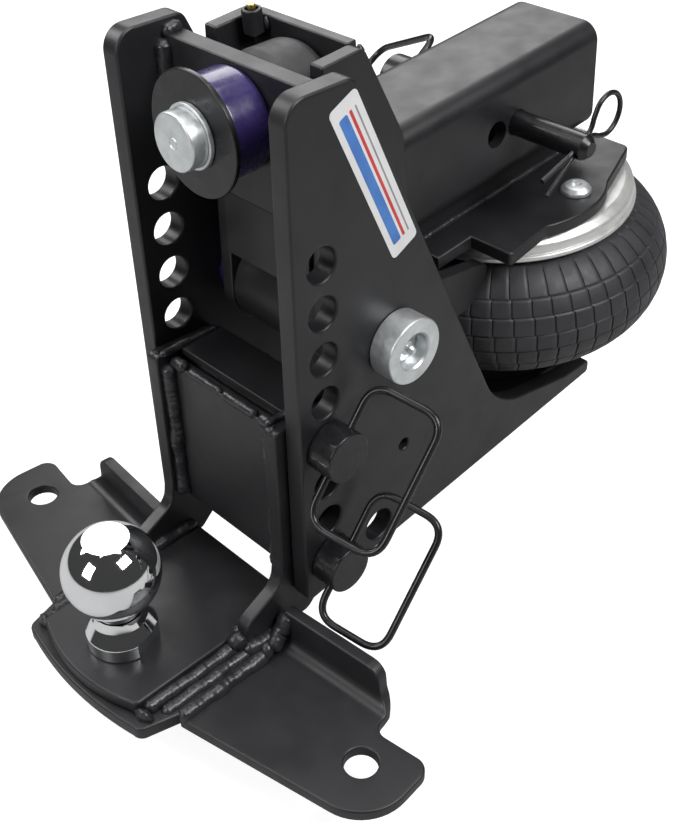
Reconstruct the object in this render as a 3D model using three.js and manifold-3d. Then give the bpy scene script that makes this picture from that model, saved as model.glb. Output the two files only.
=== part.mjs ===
// Air-ride weight distribution hitch: a hinged hitch head with an air spring under its shank,
// a pinned ball mount with two sway tabs, and a rebound pin with rubber and urethane cushions.
//
// Millimetres. +X points to the tow vehicle, +Y to its left and +Z up.
// The origin is the centre of the flat on top of the hitch ball. The pieces are drawn about the
// centre of the main pivot pin, and the whole group is moved at the end.

import * as THREE from "three";
import { mergeVertices } from "three/addons/utils/BufferGeometryUtils.js";
import Module from "manifold-3d";

const wasm = await Module();
wasm.setup();

// ---------------------------------------------------------------- driving dimensions

const GAP = 0.3; // left between pieces that touch or are welded together

// Hitch head: two side plates with a column of height-adjustment holes.
const SIDE_PLATE_THICKNESS = 12.5;
const FRAME_HALF_WIDTH = 70.5;
const FRAME_INNER_HALF_WIDTH = FRAME_HALF_WIDTH - SIDE_PLATE_THICKNESS;
const FRAME_FRONT_X = -74;
const FRAME_TOP_Z = 163.5;
const FRAME_REAR_X = 206;
const FRAME_BOTTOM_SLOPE = 0.108; // the bottom edge rises towards the vehicle
const FRAME_BOTTOM_Z_AT_PIVOT = -150.3;

const HOLE_COLUMN_X = -54;
const HOLE_TOP_Z = 72;
const HOLE_PITCH = 29;
const HOLE_COUNT = 8;
const HOLE_RADIUS = 10;
const UPPER_PIN_HOLE = 4; // counted from 0 at the top
const LOWER_PIN_HOLE = 7;

// Main pivot.
const PIVOT_PIN_RADIUS = 10.6;
const COLLAR_RADIUS = 20.4;
const COLLAR_LENGTH = 16;
const DRUM_RADIUS = 28.5;

// Arm: the shank and everything that swings with it, in a frame turned up by ARM_TILT.
const ARM_TILT = 0.082; // radians
const ARM_HALF_WIDTH = 44.9;
const ARM_PLATE_THICKNESS = 9.5;
const ARM_INNER_HALF_WIDTH = ARM_HALF_WIDTH - ARM_PLATE_THICKNESS;
const ARM_TOP = 161;

const TUBE_SIZE = 70;
const TUBE_WALL = 7;
const TUBE_CORNER_RADIUS = 11.6;
const TUBE_TOP = 95.5;
const TUBE_START = 20.8;
const TUBE_END = 230;
const TUBE_MID = TUBE_TOP - TUBE_SIZE / 2;
const SHANK_PIN_X = 151;
const SPARE_HOLE_X = 131.5;

// Air spring and its mounting plate.
const BAG_PLATE_TOP = 10;
const BAG_PLATE_BOTTOM = 1.2;
const BAG_CENTRE = 182;
const BAG_SCREW_SPREAD = 62;
const BEAD_PLATE_RADIUS = 88;
const BEAD_PLATE_BOTTOM = -15;
const BAG_RADIUS = 113;
const BAG_BOTTOM = -104;
const FLOOR_THICKNESS = 10;

// Rebound pin, across the top of the hitch head.
const REBOUND_Z = 126.2;
const REBOUND_PIN_RADIUS = 15.6;
const CROSS_PLATE_FRONT_X = -43.5;
const CROSS_PLATE_REAR_X = -31;

// Ball mount.
const CHEEK_OUTER_HALF_WIDTH = FRAME_INNER_HALF_WIDTH - 0.6;
const CHEEK_THICKNESS = 9.6;
const CHEEK_INNER_HALF_WIDTH = CHEEK_OUTER_HALF_WIDTH - CHEEK_THICKNESS;
const CHEEK_FRONT_X = -81.5;
const CHEEK_TOP_Z = -29;
const BALL_PLATE_TOP_Z = -172;
const BALL_PLATE_THICKNESS = 9.3;
const BASE_PLATE_TOP_Z = BALL_PLATE_TOP_Z - BALL_PLATE_THICKNESS - GAP;
const BASE_PLATE_THICKNESS = 9.3;
const BASE_PLATE_BOTTOM_Z = BASE_PLATE_TOP_Z - BASE_PLATE_THICKNESS;
const BASE_HALF_WIDTH = 64;
const BALL_X = -162.5;
const BALL_RADIUS = 29.37; // a 2-5/16 in ball
const BALL_CENTRE_Z = BALL_PLATE_TOP_Z + 56.2;
const BALL_FLAT_HEIGHT = 26; // above the ball's centre
const BALL_SHANK_RADIUS = 12.5;

const TAB_TOP_Z = -185.5;
const TAB_THICKNESS = 8;
const TAB_HOLE = { x: -118.3, y: 160, radius: 10 };
const FLANGE_TOP_Z = -159;

// Hitch pins.
const HEAD_RADIUS = 15.5;
const HEAD_LENGTH = 17;
const BALL_PIN_RADIUS = 9.5;
const SHANK_PIN_RADIUS = 7.95;
const SHANK_PIN_SEAT = 52; // from the mid-plane to the underside of the head
const BAIL_WIRE_RADIUS = 2.3;
const BAIL_CORNER = 14;
// The hinge side of each bail is turned up from X, and the loop is swung outwards from the
// plates. The two ball mount pins' loops stand parallel; the receiver pin has a longer loop.
const BALL_BAIL_HALF_WIDTH = 43.5;
const BALL_BAIL_REACH = 46;
const BALL_BAIL_TURN = THREE.MathUtils.degToRad(51.5);
const BALL_BAIL_LEAN = THREE.MathUtils.degToRad(71.5);
const LOWER_BAIL_SLIDE = 7.5; // the lower loop is pushed up along its cross hole
const RECEIVER_BAIL_HALF_WIDTH = 38.5;
const RECEIVER_BAIL_REACH = 86;
const RECEIVER_BAIL_TURN = THREE.MathUtils.degToRad(34);
const RECEIVER_BAIL_LEAN = THREE.MathUtils.degToRad(60);
const CLIP_WIRE_RADIUS = 1.6;
const CLIP_BOW_RADIUS = 13;
// The clips' bows point to +X and are turned down from there by these angles.
const BALL_PIN_CLIP_TURN = THREE.MathUtils.degToRad(80);
const RECEIVER_CLIP_TURN = THREE.MathUtils.degToRad(-22);

// ---------------------------------------------------------------- materials

function paint(color, roughness, metalness) {
  return { color, roughness, metalness };
}

const POWDER_COAT = paint(0x1c1d20, 0.55, 0.3);
const GLOSS_BLACK = paint(0x111214, 0.25, 0.4);
const ZINC = paint(0xc9ccd0, 0.35, 0.9);
const CHROME = paint(0xe6e8ea, 0.06, 1);
const BEAD_METAL = paint(0xd9dcd8, 0.45, 0.6);
const RUBBER = paint(0x25262a, 0.75, 0);
const CUSHION_RUBBER = paint(0x3a3c40, 0.8, 0);
const URETHANE = paint(0x3d2f86, 0.35, 0);
const BRASS = paint(0xb8923c, 0.35, 0.9);
const HOSE = paint(0x141416, 0.5, 0);

// ---------------------------------------------------------------- geometry helpers

// Shares the vertices of a geometry and drops triangles that have no area.
function welded(geometry) {
  const bare = geometry.clone();
  bare.deleteAttribute("normal");
  bare.deleteAttribute("uv");
  const merged = mergeVertices(bare, 1e-4);
  const from = merged.index.array;
  const kept = [];
  for (let i = 0; i < from.length; i += 3) {
    const [a, b, c] = [from[i], from[i + 1], from[i + 2]];
    if (a !== b && b !== c && c !== a) {
      kept.push(a, b, c);
    }
  }
  merged.setIndex(kept);
  return merged;
}

function toSolid(geometry) {
  const shared = welded(geometry);
  return new wasm.Manifold(
    new wasm.Mesh({
      numProp: 3,
      vertProperties: new Float32Array(shared.attributes.position.array),
      triVerts: new Uint32Array(shared.index.array),
    }),
  );
}

function toGeometry(solid) {
  const mesh = solid.getMesh();
  const geometry = new THREE.BufferGeometry();
  geometry.setAttribute("position", new THREE.BufferAttribute(new Float32Array(mesh.vertProperties), 3));
  geometry.setIndex(Array.from(mesh.triVerts));
  geometry.computeVertexNormals();
  return geometry;
}

function cut(geometry, ...tools) {
  let solid = toSolid(geometry);
  for (const tool of tools) {
    solid = solid.subtract(toSolid(tool));
  }
  return toGeometry(solid);
}

function join(geometry, ...others) {
  let solid = toSolid(geometry);
  for (const other of others) {
    solid = solid.add(toSolid(other));
  }
  return toGeometry(solid);
}

// Traces corners [u, v, radius] as straight edges with round corners.
function outline(corners, path = new THREE.Shape()) {
  const count = corners.length;
  corners.forEach(([u, v, radius = 0], index) => {
    const here = new THREE.Vector2(u, v);
    const [bu, bv] = corners[(index + count - 1) % count];
    const [fu, fv] = corners[(index + 1) % count];
    const back = new THREE.Vector2(bu, bv).sub(here).normalize();
    const ahead = new THREE.Vector2(fu, fv).sub(here).normalize();
    const half = Math.acos(THREE.MathUtils.clamp(back.dot(ahead), -1, 1)) / 2;
    const trim = radius / Math.tan(half);
    const start = here.clone().addScaledVector(back, trim);
    if (index === 0) {
      path.moveTo(start.x, start.y);
    } else {
      path.lineTo(start.x, start.y);
    }
    if (radius > 0) {
      const end = here.clone().addScaledVector(ahead, trim);
      const middle = back.clone().add(ahead).normalize();
      const centre = here.clone().addScaledVector(middle, radius / Math.sin(half));
      const from = Math.atan2(start.y - centre.y, start.x - centre.x);
      const to = Math.atan2(end.y - centre.y, end.x - centre.x);
      const clockwise = back.cross(ahead) > 0;
      path.absarc(centre.x, centre.y, radius, from, to, clockwise);
    }
  });
  path.closePath();
  return path;
}

function roundHole(u, v, radius) {
  const hole = new THREE.Path();
  hole.absarc(u, v, radius, 0, Math.PI * 2, false);
  return hole;
}

function extrude(shape, depth, curveSegments = 6) {
  return new THREE.ExtrudeGeometry(shape, { depth, bevelEnabled: false, curveSegments });
}

// A plate that stands on edge: its outline is in X and Z, its thickness runs from yLow to yHigh.
function uprightPlate(shape, yLow, yHigh, curveSegments) {
  return extrude(shape, yHigh - yLow, curveSegments).rotateX(Math.PI / 2).translate(0, yHigh, 0);
}

// A plate that lies flat: its outline is in X and Y.
function flatPlate(shape, zLow, zHigh, curveSegments) {
  return extrude(shape, zHigh - zLow, curveSegments).translate(0, 0, zLow);
}

function block(xLow, xHigh, halfWidth, zLow, zHigh) {
  return new THREE.BoxGeometry(xHigh - xLow, 2 * halfWidth, zHigh - zLow).translate(
    (xLow + xHigh) / 2,
    0,
    (zLow + zHigh) / 2,
  );
}

// A turned piece: corners are [radius, height] around +Z, and the profile closes on itself.
function turned(corners, segments = 32) {
  const points = corners.map(([radius, height]) => new THREE.Vector2(radius, height));
  points.push(points[0].clone());
  return new THREE.LatheGeometry(points, segments).rotateX(Math.PI / 2);
}

const alongX = (geometry) => geometry.rotateY(Math.PI / 2);
const alongY = (geometry) => geometry.rotateX(-Math.PI / 2);

function ring(inner, outer, low, high, segments) {
  return turned(
    [
      [inner, low],
      [outer, low],
      [outer, high],
      [inner, high],
    ],
    segments,
  );
}

function rod(radius, low, high, segments) {
  return turned(
    [
      [0, low],
      [radius, low],
      [radius, high],
      [0, high],
    ],
    segments,
  );
}

function mirrored(geometry) {
  const flipped = welded(geometry).scale(1, -1, 1);
  const index = flipped.index.array;
  for (let i = 0; i < index.length; i += 3) {
    const first = index[i];
    index[i] = index[i + 1];
    index[i + 1] = first;
  }
  return flipped;
}

// Round wire along a path, with flat ends.
function wire(path, radius, steps, sides = 4) {
  const shape = new THREE.Shape();
  shape.absarc(0, 0, radius, 0, Math.PI * 2, false);
  return new THREE.ExtrudeGeometry(shape, {
    steps,
    curveSegments: sides,
    bevelEnabled: false,
    extrudePath: path,
  });
}

// ---------------------------------------------------------------- assembly helpers

const hitch = new THREE.Group();
const arm = new THREE.Group();
arm.rotation.y = -ARM_TILT;
hitch.add(arm);

function add(name, geometry, look, parent = hitch) {
  const shared = welded(geometry);
  shared.computeVertexNormals();
  const mesh = new THREE.Mesh(shared, new THREE.MeshStandardMaterial(look));
  mesh.name = name;
  parent.add(mesh);
  return mesh;
}

function addPair(stem, geometry, look, parent) {
  add(`left_${stem}`, geometry, look, parent);
  add(`right_${stem}`, mirrored(geometry), look, parent);
}

// ---------------------------------------------------------------- hitch head

function frameBottomZ(x) {
  return FRAME_BOTTOM_Z_AT_PIVOT + FRAME_BOTTOM_SLOPE * x;
}

function holeZ(index) {
  return HOLE_TOP_Z - index * HOLE_PITCH;
}

function buildHead() {
  const side = outline([
    [FRAME_FRONT_X, frameBottomZ(FRAME_FRONT_X), 6],
    [FRAME_FRONT_X, FRAME_TOP_Z, 13],
    [-29.2, FRAME_TOP_Z, 8],
    [101.4, -103.2, 52],
    [178, -118],
    [FRAME_REAR_X, -118, 3],
    [FRAME_REAR_X, frameBottomZ(FRAME_REAR_X), 3],
  ]);
  for (let i = 0; i < HOLE_COUNT; i += 1) {
    side.holes.push(roundHole(HOLE_COLUMN_X, holeZ(i), HOLE_RADIUS));
  }
  side.holes.push(roundHole(0, 0, PIVOT_PIN_RADIUS + 0.4));
  side.holes.push(roundHole(10, -81.5, 4)); // tapped hole for an electrical plug bracket
  side.holes.push(roundHole(-11.5, -134, 11)); // safety chain hole
  const leftPlate = uprightPlate(side, FRAME_INNER_HALF_WIDTH, FRAME_HALF_WIDTH, 8);
  addPair("side_plate", leftPlate, POWDER_COAT);

  // Cross plate: the rebound pin passes through its large hole with room to tilt.
  const span = FRAME_INNER_HALF_WIDTH - GAP;
  const cross = outline([
    [-155.4, -span, 1],
    [-155.4, span, 1],
    [-78, span, 1],
    [-78, -span, 1],
  ]);
  cross.holes.push(roundHole(-REBOUND_Z, 0, REBOUND_PIN_RADIUS + 5.2));
  const crossPlate = extrude(cross, CROSS_PLATE_REAR_X - CROSS_PLATE_FRONT_X, 12);
  crossPlate.rotateY(Math.PI / 2).translate(CROSS_PLATE_FRONT_X, 0, 0);
  add("front_cross_plate", crossPlate, POWDER_COAT);

  // Floor plate under the air spring, parallel to the bottom edge.
  const floor = block(0, 104, span, 0, FLOOR_THICKNESS);
  floor.rotateY(-Math.atan(FRAME_BOTTOM_SLOPE)).translate(99, 0, frameBottomZ(99) + 2);
  add("floor_plate", floor, POWDER_COAT);
}

function buildPivot() {
  const face = FRAME_HALF_WIDTH + COLLAR_LENGTH;
  const pin = alongY(rod(PIVOT_PIN_RADIUS, -(face - 9), face - 9, 24));
  add("pivot_pin", pin, ZINC);

  const collar = alongY(
    turned(
      [
        [PIVOT_PIN_RADIUS + 0.3, FRAME_HALF_WIDTH + GAP],
        [COLLAR_RADIUS, FRAME_HALF_WIDTH + GAP],
        [COLLAR_RADIUS, face - 1],
        [COLLAR_RADIUS - 1, face],
        [PIVOT_PIN_RADIUS + 1.2, face],
        [PIVOT_PIN_RADIUS + 0.3, face - 1],
      ],
      28,
    ),
  );
  addPair("pivot_collar", collar, ZINC);

  // Grease fitting on the end of the pin, inside the collar's bore.
  const root = face - 9 + GAP;
  const fitting = alongY(
    turned(
      [
        [0, root],
        [4.4, root],
        [4.4, root + 3],
        [2.4, root + 3.4],
        [2.4, root + 5],
        [3, root + 6],
        [1.6, root + 8],
        [0, root + 8],
      ],
      12,
    ),
  );
  addPair("grease_fitting", fitting, ZINC);

  // Thrust bush between the arm's drum and the side plate.
  const bush = alongY(
    ring(PIVOT_PIN_RADIUS + 0.4, 21, ARM_HALF_WIDTH + GAP, FRAME_INNER_HALF_WIDTH - GAP, 24),
  );
  addPair("thrust_bush", bush, URETHANE);
}

// ---------------------------------------------------------------- arm

function buildArm() {
  // Receiver shank: a hollow square tube with two pin holes through its sides.
  const half = TUBE_SIZE / 2;
  const corner = TUBE_CORNER_RADIUS;
  const section = outline([
    [-half, -half, corner],
    [half, -half, corner],
    [half, half, corner],
    [-half, half, corner],
  ]);
  const inside = half - TUBE_WALL;
  const bore = outline(
    [
      [-inside, -inside, corner - TUBE_WALL],
      [inside, -inside, corner - TUBE_WALL],
      [inside, inside, corner - TUBE_WALL],
      [-inside, inside, corner - TUBE_WALL],
    ],
    new THREE.Path(),
  );
  section.holes.push(bore);
  const tube = extrude(section, TUBE_END - TUBE_START, 3).rotateY(Math.PI / 2);
  tube.translate(TUBE_START, 0, TUBE_MID);
  const drills = [SHANK_PIN_X, SPARE_HOLE_X].map((x) =>
    alongY(rod(SHANK_PIN_RADIUS + 0.45, -60, 60, 20)).translate(x, 0, TUBE_MID),
  );
  add("receiver_tube", cut(tube, ...drills), POWDER_COAT, arm);

  // Saddle bar between the shank and the bag plate.
  const saddle = block(46, 224, 24, BAG_PLATE_TOP + GAP, TUBE_TOP - TUBE_SIZE - GAP);
  add("tube_saddle", saddle, POWDER_COAT, arm);

  // Side plates: tall at the front and round at the pivot.
  const plate = outline([
    [-13, ARM_TOP, 1.5],
    [16, ARM_TOP, 7],
    [41.4, 103, 12],
    [46, 8, 20],
    [64, 2, 4],
    [60, -22, 12],
    [34, -30, 30],
    [-32, -28.5, 27],
  ]);
  plate.holes.push(roundHole(0, 0, 14.9));
  const leftPlate = uprightPlate(plate, ARM_INNER_HALF_WIDTH, ARM_HALF_WIDTH, 6);
  addPair("arm_plate", leftPlate, POWDER_COAT, arm);

  // Tail plates outside them, running back under the edge of the bag plate.
  const tail = outline([
    [36, 9],
    [62, 2.2, 20],
    [96, -5.5, 3],
    [100.5, -9, 4],
    [98, -17, 8],
    [90, -27, 12],
    [80, -33, 10],
    [36, -30, 6],
  ]);
  const tailLow = ARM_HALF_WIDTH + GAP;
  const leftTail = uprightPlate(tail, tailLow, tailLow + ARM_PLATE_THICKNESS, 3);
  addPair("tail_plate", leftTail, POWDER_COAT, arm);

  const span = ARM_INNER_HALF_WIDTH - GAP;
  const backHole = alongX(rod(REBOUND_PIN_RADIUS + 0.6, -40, 80, 24));
  backHole.rotateY(ARM_TILT);
  backHole.translate(0, 0, REBOUND_Z / Math.cos(ARM_TILT));
  const back = block(13.5, TUBE_START - GAP, span, 30, ARM_TOP);
  add("arm_back_plate", cut(back, backHole), POWDER_COAT, arm);

  // Front plate, from the drum to below the cross plate, along the side plates' front edge.
  const front = outline([
    [-28.6, 31],
    [-19.4, 31],
    [-14.6, 76],
    [-23.8, 76],
  ]);
  add("arm_front_plate", uprightPlate(front, -span, span), POWDER_COAT, arm);

  // Drum: the thick pivot tube, with a bush pressed in each end.
  add("pivot_drum", alongY(ring(14.2, DRUM_RADIUS, -span, span, 28)), POWDER_COAT, arm);
  const bush = alongY(ring(PIVOT_PIN_RADIUS + 0.4, 13.9, 8, ARM_HALF_WIDTH, 24));
  addPair("pivot_bush", bush, BRASS, arm);

  // Short tube in the rear corner of the head box, which holds the inflation valve.
  const valveTube = ring(3.6, 5.6, 153, 166, 14).translate(7.2, 29, 0);
  add("valve_tube", valveTube, POWDER_COAT, arm);
  const valve = turned(
    [
      [0, 151.5],
      [3.2, 151.5],
      [3.2, 163],
      [2.4, 164],
      [2.4, 168.5],
      [0, 168.5],
    ],
    10,
  ).translate(7.2, 29, 0);
  add("air_valve", valve, BRASS, arm);
}

function buildRebound() {
  // The pin is parallel to X in the hitch's own frame, so it is built outside the arm's group.
  const backFace = 20.2 - REBOUND_Z * Math.sin(ARM_TILT);
  const pin = alongX(
    turned(
      [
        [0, -86],
        [REBOUND_PIN_RADIUS - 1.2, -86],
        [REBOUND_PIN_RADIUS, -84.8],
        [REBOUND_PIN_RADIUS, backFace],
        [0, backFace],
      ],
      26,
    ),
  );
  add("rebound_pin", pin.translate(0, 0, REBOUND_Z), ZINC);

  const bore = REBOUND_PIN_RADIUS + GAP;
  const snap = alongX(ring(bore, 17.4, -76.4, -73.8, 24)).translate(0, 0, REBOUND_Z);
  add("retaining_ring", snap, ZINC);
  const washer = alongX(ring(bore, 33.4, -73.5, -70.5, 32)).translate(0, 0, REBOUND_Z);
  add("rebound_washer", washer, GLOSS_BLACK);
  const bushing = alongX(
    turned(
      [
        [bore, -70.2],
        [26.5, -70.2],
        [28, -68],
        [28, -46],
        [26.5, CROSS_PLATE_FRONT_X - GAP],
        [bore, CROSS_PLATE_FRONT_X - GAP],
      ],
      26,
    ),
  );
  add("rebound_bushing", bushing.translate(0, 0, REBOUND_Z), URETHANE);
  const cushion = alongX(
    turned(
      [
        [bore, CROSS_PLATE_REAR_X + GAP],
        [28.5, CROSS_PLATE_REAR_X + GAP],
        [30.5, -27],
        [30.5, -4],
        [28.5, -0.2],
        [bore, -0.2],
      ],
      26,
    ),
  );
  add("rear_cushion", cushion.translate(0, 0, REBOUND_Z), CUSHION_RUBBER);
}

// ---------------------------------------------------------------- air spring

// One side of the bag plate: from the neck between the arm plates, out to the tail plate, then
// ears, a bulge beside the bead plate and a straight taper to the rear edge. The other side is
// traced the other way round.
function traceBagPlateSide(plate, side) {
  const neck = ARM_INNER_HALF_WIDTH - GAP;
  if (side < 0) {
    plate.lineTo(66, -neck);
    plate.lineTo(66, -ARM_HALF_WIDTH);
    plate.lineTo(96, -ARM_HALF_WIDTH);
    plate.lineTo(96, -73);
    plate.quadraticCurveTo(96, -76, 99, -76);
    plate.lineTo(134, -73);
    plate.quadraticCurveTo(150, -82, 172, -81);
    plate.quadraticCurveTo(187, -80, 200, -71);
    plate.lineTo(242, -56);
    plate.quadraticCurveTo(246, -54.5, 246, -50.5);
  } else {
    plate.lineTo(246, 50.5);
    plate.quadraticCurveTo(246, 54.5, 242, 56);
    plate.lineTo(200, 71);
    plate.quadraticCurveTo(187, 80, 172, 81);
    plate.quadraticCurveTo(150, 82, 134, 73);
    plate.lineTo(99, 76);
    plate.quadraticCurveTo(96, 76, 96, 73);
    plate.lineTo(96, ARM_HALF_WIDTH);
    plate.lineTo(66, ARM_HALF_WIDTH);
    plate.lineTo(66, neck);
  }
}

function buildAirSpring() {
  const neck = ARM_INNER_HALF_WIDTH - GAP;
  const plate = new THREE.Shape();
  plate.moveTo(46.5, neck);
  plate.lineTo(46.5, -neck);
  traceBagPlateSide(plate, -1);
  traceBagPlateSide(plate, 1);
  plate.closePath();
  plate.holes.push(roundHole(BAG_CENTRE - 4, BAG_SCREW_SPREAD, 5.4));
  plate.holes.push(roundHole(BAG_CENTRE - 4, -BAG_SCREW_SPREAD, 5.4));
  plate.holes.push(roundHole(BAG_CENTRE + 30, 50, 8.4));
  add("bag_plate", flatPlate(plate, BAG_PLATE_BOTTOM, BAG_PLATE_TOP, 8), POWDER_COAT, arm);

  // Button-head screws that hold the bead plate.
  const screw = turned(
    [
      [0, BAG_PLATE_BOTTOM],
      [4.9, BAG_PLATE_BOTTOM],
      [4.9, BAG_PLATE_TOP + GAP],
      [10, BAG_PLATE_TOP + GAP],
      [9, BAG_PLATE_TOP + 3],
      [6, BAG_PLATE_TOP + 5],
      [0, BAG_PLATE_TOP + 5.6],
    ],
    24,
  ).translate(BAG_CENTRE - 4, BAG_SCREW_SPREAD, 0);
  addPair("bag_screw", screw, ZINC, arm);

  const beadTop = BAG_PLATE_BOTTOM - GAP;
  const bead = turned(
    [
      [0, BEAD_PLATE_BOTTOM],
      [BEAD_PLATE_RADIUS, BEAD_PLATE_BOTTOM],
      [BEAD_PLATE_RADIUS, -9],
      [BEAD_PLATE_RADIUS - 5, beadTop - 2],
      [BEAD_PLATE_RADIUS - 10, beadTop],
      [0, beadTop],
    ],
    36,
  ).translate(BAG_CENTRE, 0, 0);
  add("bead_plate", bead, BEAD_METAL, arm);

  const top = BEAD_PLATE_BOTTOM - GAP;
  const middle = (top + BAG_BOTTOM) / 2;
  const rise = (top - BAG_BOTTOM) / 2;
  const profile = [[0, BAG_BOTTOM]];
  const steps = 8;
  for (let i = 0; i <= steps; i += 1) {
    const angle = -Math.PI / 2 + (Math.PI * i) / steps;
    profile.push([BAG_RADIUS - 42 + 42 * Math.cos(angle), middle + rise * Math.sin(angle)]);
  }
  profile.push([0, top]);
  add("air_bag", turned(profile, 32).translate(BAG_CENTRE, 0, 0), RUBBER, arm);

  // Lower mount on the floor plate, and its screw from below.
  const footX = BAG_CENTRE * Math.cos(ARM_TILT) - BAG_BOTTOM * Math.sin(ARM_TILT) - 1;
  const lean = Math.atan(FRAME_BOTTOM_SLOPE);
  const foot = turned(
    [
      [0, FLOOR_THICKNESS + GAP],
      [52, FLOOR_THICKNESS + GAP],
      [52, FLOOR_THICKNESS + 12],
      [46, FLOOR_THICKNESS + 27],
      [0, FLOOR_THICKNESS + 27],
    ],
    36,
  );
  foot.rotateY(-lean).translate(footX - 3, 0, frameBottomZ(footX - 3) + 2);
  add("bag_foot", foot, RUBBER);
}

function buildAirLine() {
  // Elbow fitting on the bead plate's port, and the hose up to the valve.
  const portX = BAG_CENTRE + 30;
  const fitting = turned(
    [
      [0, BAG_PLATE_BOTTOM],
      [7.6, BAG_PLATE_BOTTOM],
      [7.6, BAG_PLATE_TOP + 5],
      [5, BAG_PLATE_TOP + 6],
      [5, BAG_PLATE_TOP + 16],
      [0, BAG_PLATE_TOP + 16],
    ],
    12,
  ).translate(portX, 50, 0);
  add("air_fitting", fitting, BRASS, arm);
  const onPlate = BAG_PLATE_TOP + 4.6;
  const route = new THREE.CatmullRomCurve3([
    new THREE.Vector3(portX - 5.6, 50, 21),
    new THREE.Vector3(portX - 22, 47.5, 18),
    new THREE.Vector3(165, 46, onPlate),
    new THREE.Vector3(100, 46, onPlate),
    new THREE.Vector3(70, 46, onPlate),
    new THREE.Vector3(55.5, 45, 30),
    new THREE.Vector3(54.5, 45, 60),
    new THREE.Vector3(52, 43, 98),
    new THREE.Vector3(38, 31, 124),
    new THREE.Vector3(24.5, 29, 144),
  ]);
  add("air_line", wire(route, 3, 34, 3), HOSE, arm);
}

// ---------------------------------------------------------------- ball mount

function buildBallMount() {
  const cheek = outline([
    [CHEEK_FRONT_X, CHEEK_TOP_Z, 4],
    [-30, CHEEK_TOP_Z - 3, 6],
    [-30, -152, 12],
    [-62, BASE_PLATE_TOP_Z + GAP, 8],
    [-113, BASE_PLATE_TOP_Z + GAP, 3],
    [-112, -160, 10],
    [-84, -146, 14],
    [CHEEK_FRONT_X, -128, 12],
  ]);
  cheek.holes.push(roundHole(HOLE_COLUMN_X, holeZ(UPPER_PIN_HOLE), HOLE_RADIUS));
  cheek.holes.push(roundHole(HOLE_COLUMN_X, holeZ(LOWER_PIN_HOLE), HOLE_RADIUS));
  const leftCheek = uprightPlate(cheek, CHEEK_INNER_HALF_WIDTH, CHEEK_OUTER_HALF_WIDTH, 8);
  addPair("ball_mount_cheek", leftCheek, POWDER_COAT);

  const span = CHEEK_INNER_HALF_WIDTH - GAP;
  add("ball_mount_front_plate", block(-72.5, -64.3, span, -141.5, -36), POWDER_COAT);
  add("ball_mount_top_plate", block(-64, -32, span, -34, -29), POWDER_COAT);

  const nose = 8.5; // how far the front edge bows out
  const ballPlate = new THREE.Shape();
  ballPlate.moveTo(-68, -span);
  ballPlate.lineTo(-68, span);
  ballPlate.lineTo(-185, span);
  ballPlate.quadraticCurveTo(-189.5, span, -190, span - 5);
  ballPlate.quadraticCurveTo(-190 - 2 * nose, 0, -190, -(span - 5));
  ballPlate.quadraticCurveTo(-189.5, -span, -185, -span);
  ballPlate.closePath();
  ballPlate.holes.push(roundHole(BALL_X, 0, BALL_SHANK_RADIUS + 0.5));
  const ballPlateLow = BALL_PLATE_TOP_Z - BALL_PLATE_THICKNESS;
  add("ball_plate", flatPlate(ballPlate, ballPlateLow, BALL_PLATE_TOP_Z, 10), POWDER_COAT);

  const base = new THREE.Shape();
  base.moveTo(-68, -BASE_HALF_WIDTH);
  base.lineTo(-68, BASE_HALF_WIDTH);
  base.lineTo(-171, BASE_HALF_WIDTH);
  base.lineTo(-192, 58);
  base.quadraticCurveTo(-196, 56, -196, 51);
  base.quadraticCurveTo(-207, 0, -196, -51);
  base.quadraticCurveTo(-196, -56, -192, -58);
  base.lineTo(-171, -BASE_HALF_WIDTH);
  base.closePath();
  base.holes.push(roundHole(BALL_X, 0, BALL_SHANK_RADIUS + 0.5));
  add("base_plate", flatPlate(base, BASE_PLATE_BOTTOM_Z, BASE_PLATE_TOP_Z, 10), POWDER_COAT);

  // Sway tab: a flat ear with a round-cornered end and a rear edge bent up into a flange.
  const inner = BASE_HALF_WIDTH + GAP;
  const ear = outline([
    [-104, inner],
    [-97, 147, 3],
    [-92, 190, 9],
    [-144, 194, 32],
    [-171.5, inner],
  ]);
  ear.holes.push(roundHole(TAB_HOLE.x, TAB_HOLE.y, TAB_HOLE.radius));
  const flat = flatPlate(ear, TAB_TOP_Z - TAB_THICKNESS, TAB_TOP_Z, 10);
  const bend = 12;
  const rise = FLANGE_TOP_Z - (TAB_TOP_Z - TAB_THICKNESS);
  const hook = new THREE.Shape();
  hook.moveTo(-2, 0);
  hook.lineTo(bend - 4, 0);
  hook.absarc(bend - 4, bend + 4, bend + 4, -Math.PI / 2, 0, false);
  hook.lineTo(2 * bend, rise);
  hook.lineTo(2 * bend - TAB_THICKNESS, rise);
  hook.lineTo(2 * bend - TAB_THICKNESS, bend + 4);
  hook.absarc(bend - 4, bend + 4, bend - 4, 0, -Math.PI / 2, true);
  hook.lineTo(-2, TAB_THICKNESS);
  hook.closePath();
  const flangeLength = 84;
  const flange = uprightPlate(hook, 0, flangeLength, 5);
  const trim = outline([
    [flangeLength - 20, rise + 1],
    [flangeLength + 1, rise + 1],
    [flangeLength + 1, TAB_THICKNESS + 2],
    [flangeLength - 7, TAB_THICKNESS + 8, 8],
    [flangeLength - 9, rise - 6, 7],
  ]);
  const trimmer = extrude(trim, 60, 4).rotateX(Math.PI / 2).rotateZ(Math.PI / 2);
  trimmer.translate(-10, 0, 0);
  const bent = toGeometry(toSolid(flange).subtract(toSolid(trimmer)));
  bent.rotateZ(-Math.atan2(7, 82.7)).translate(-104 - 0.2, inner + 0.01, TAB_TOP_Z - TAB_THICKNESS);
  const flush = new THREE.BoxGeometry(200, 10, 80).translate(-100, inner - 5, -180);
  addPair("sway_tab", toGeometry(toSolid(join(flat, bent)).subtract(toSolid(flush))), POWDER_COAT);
}

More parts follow.
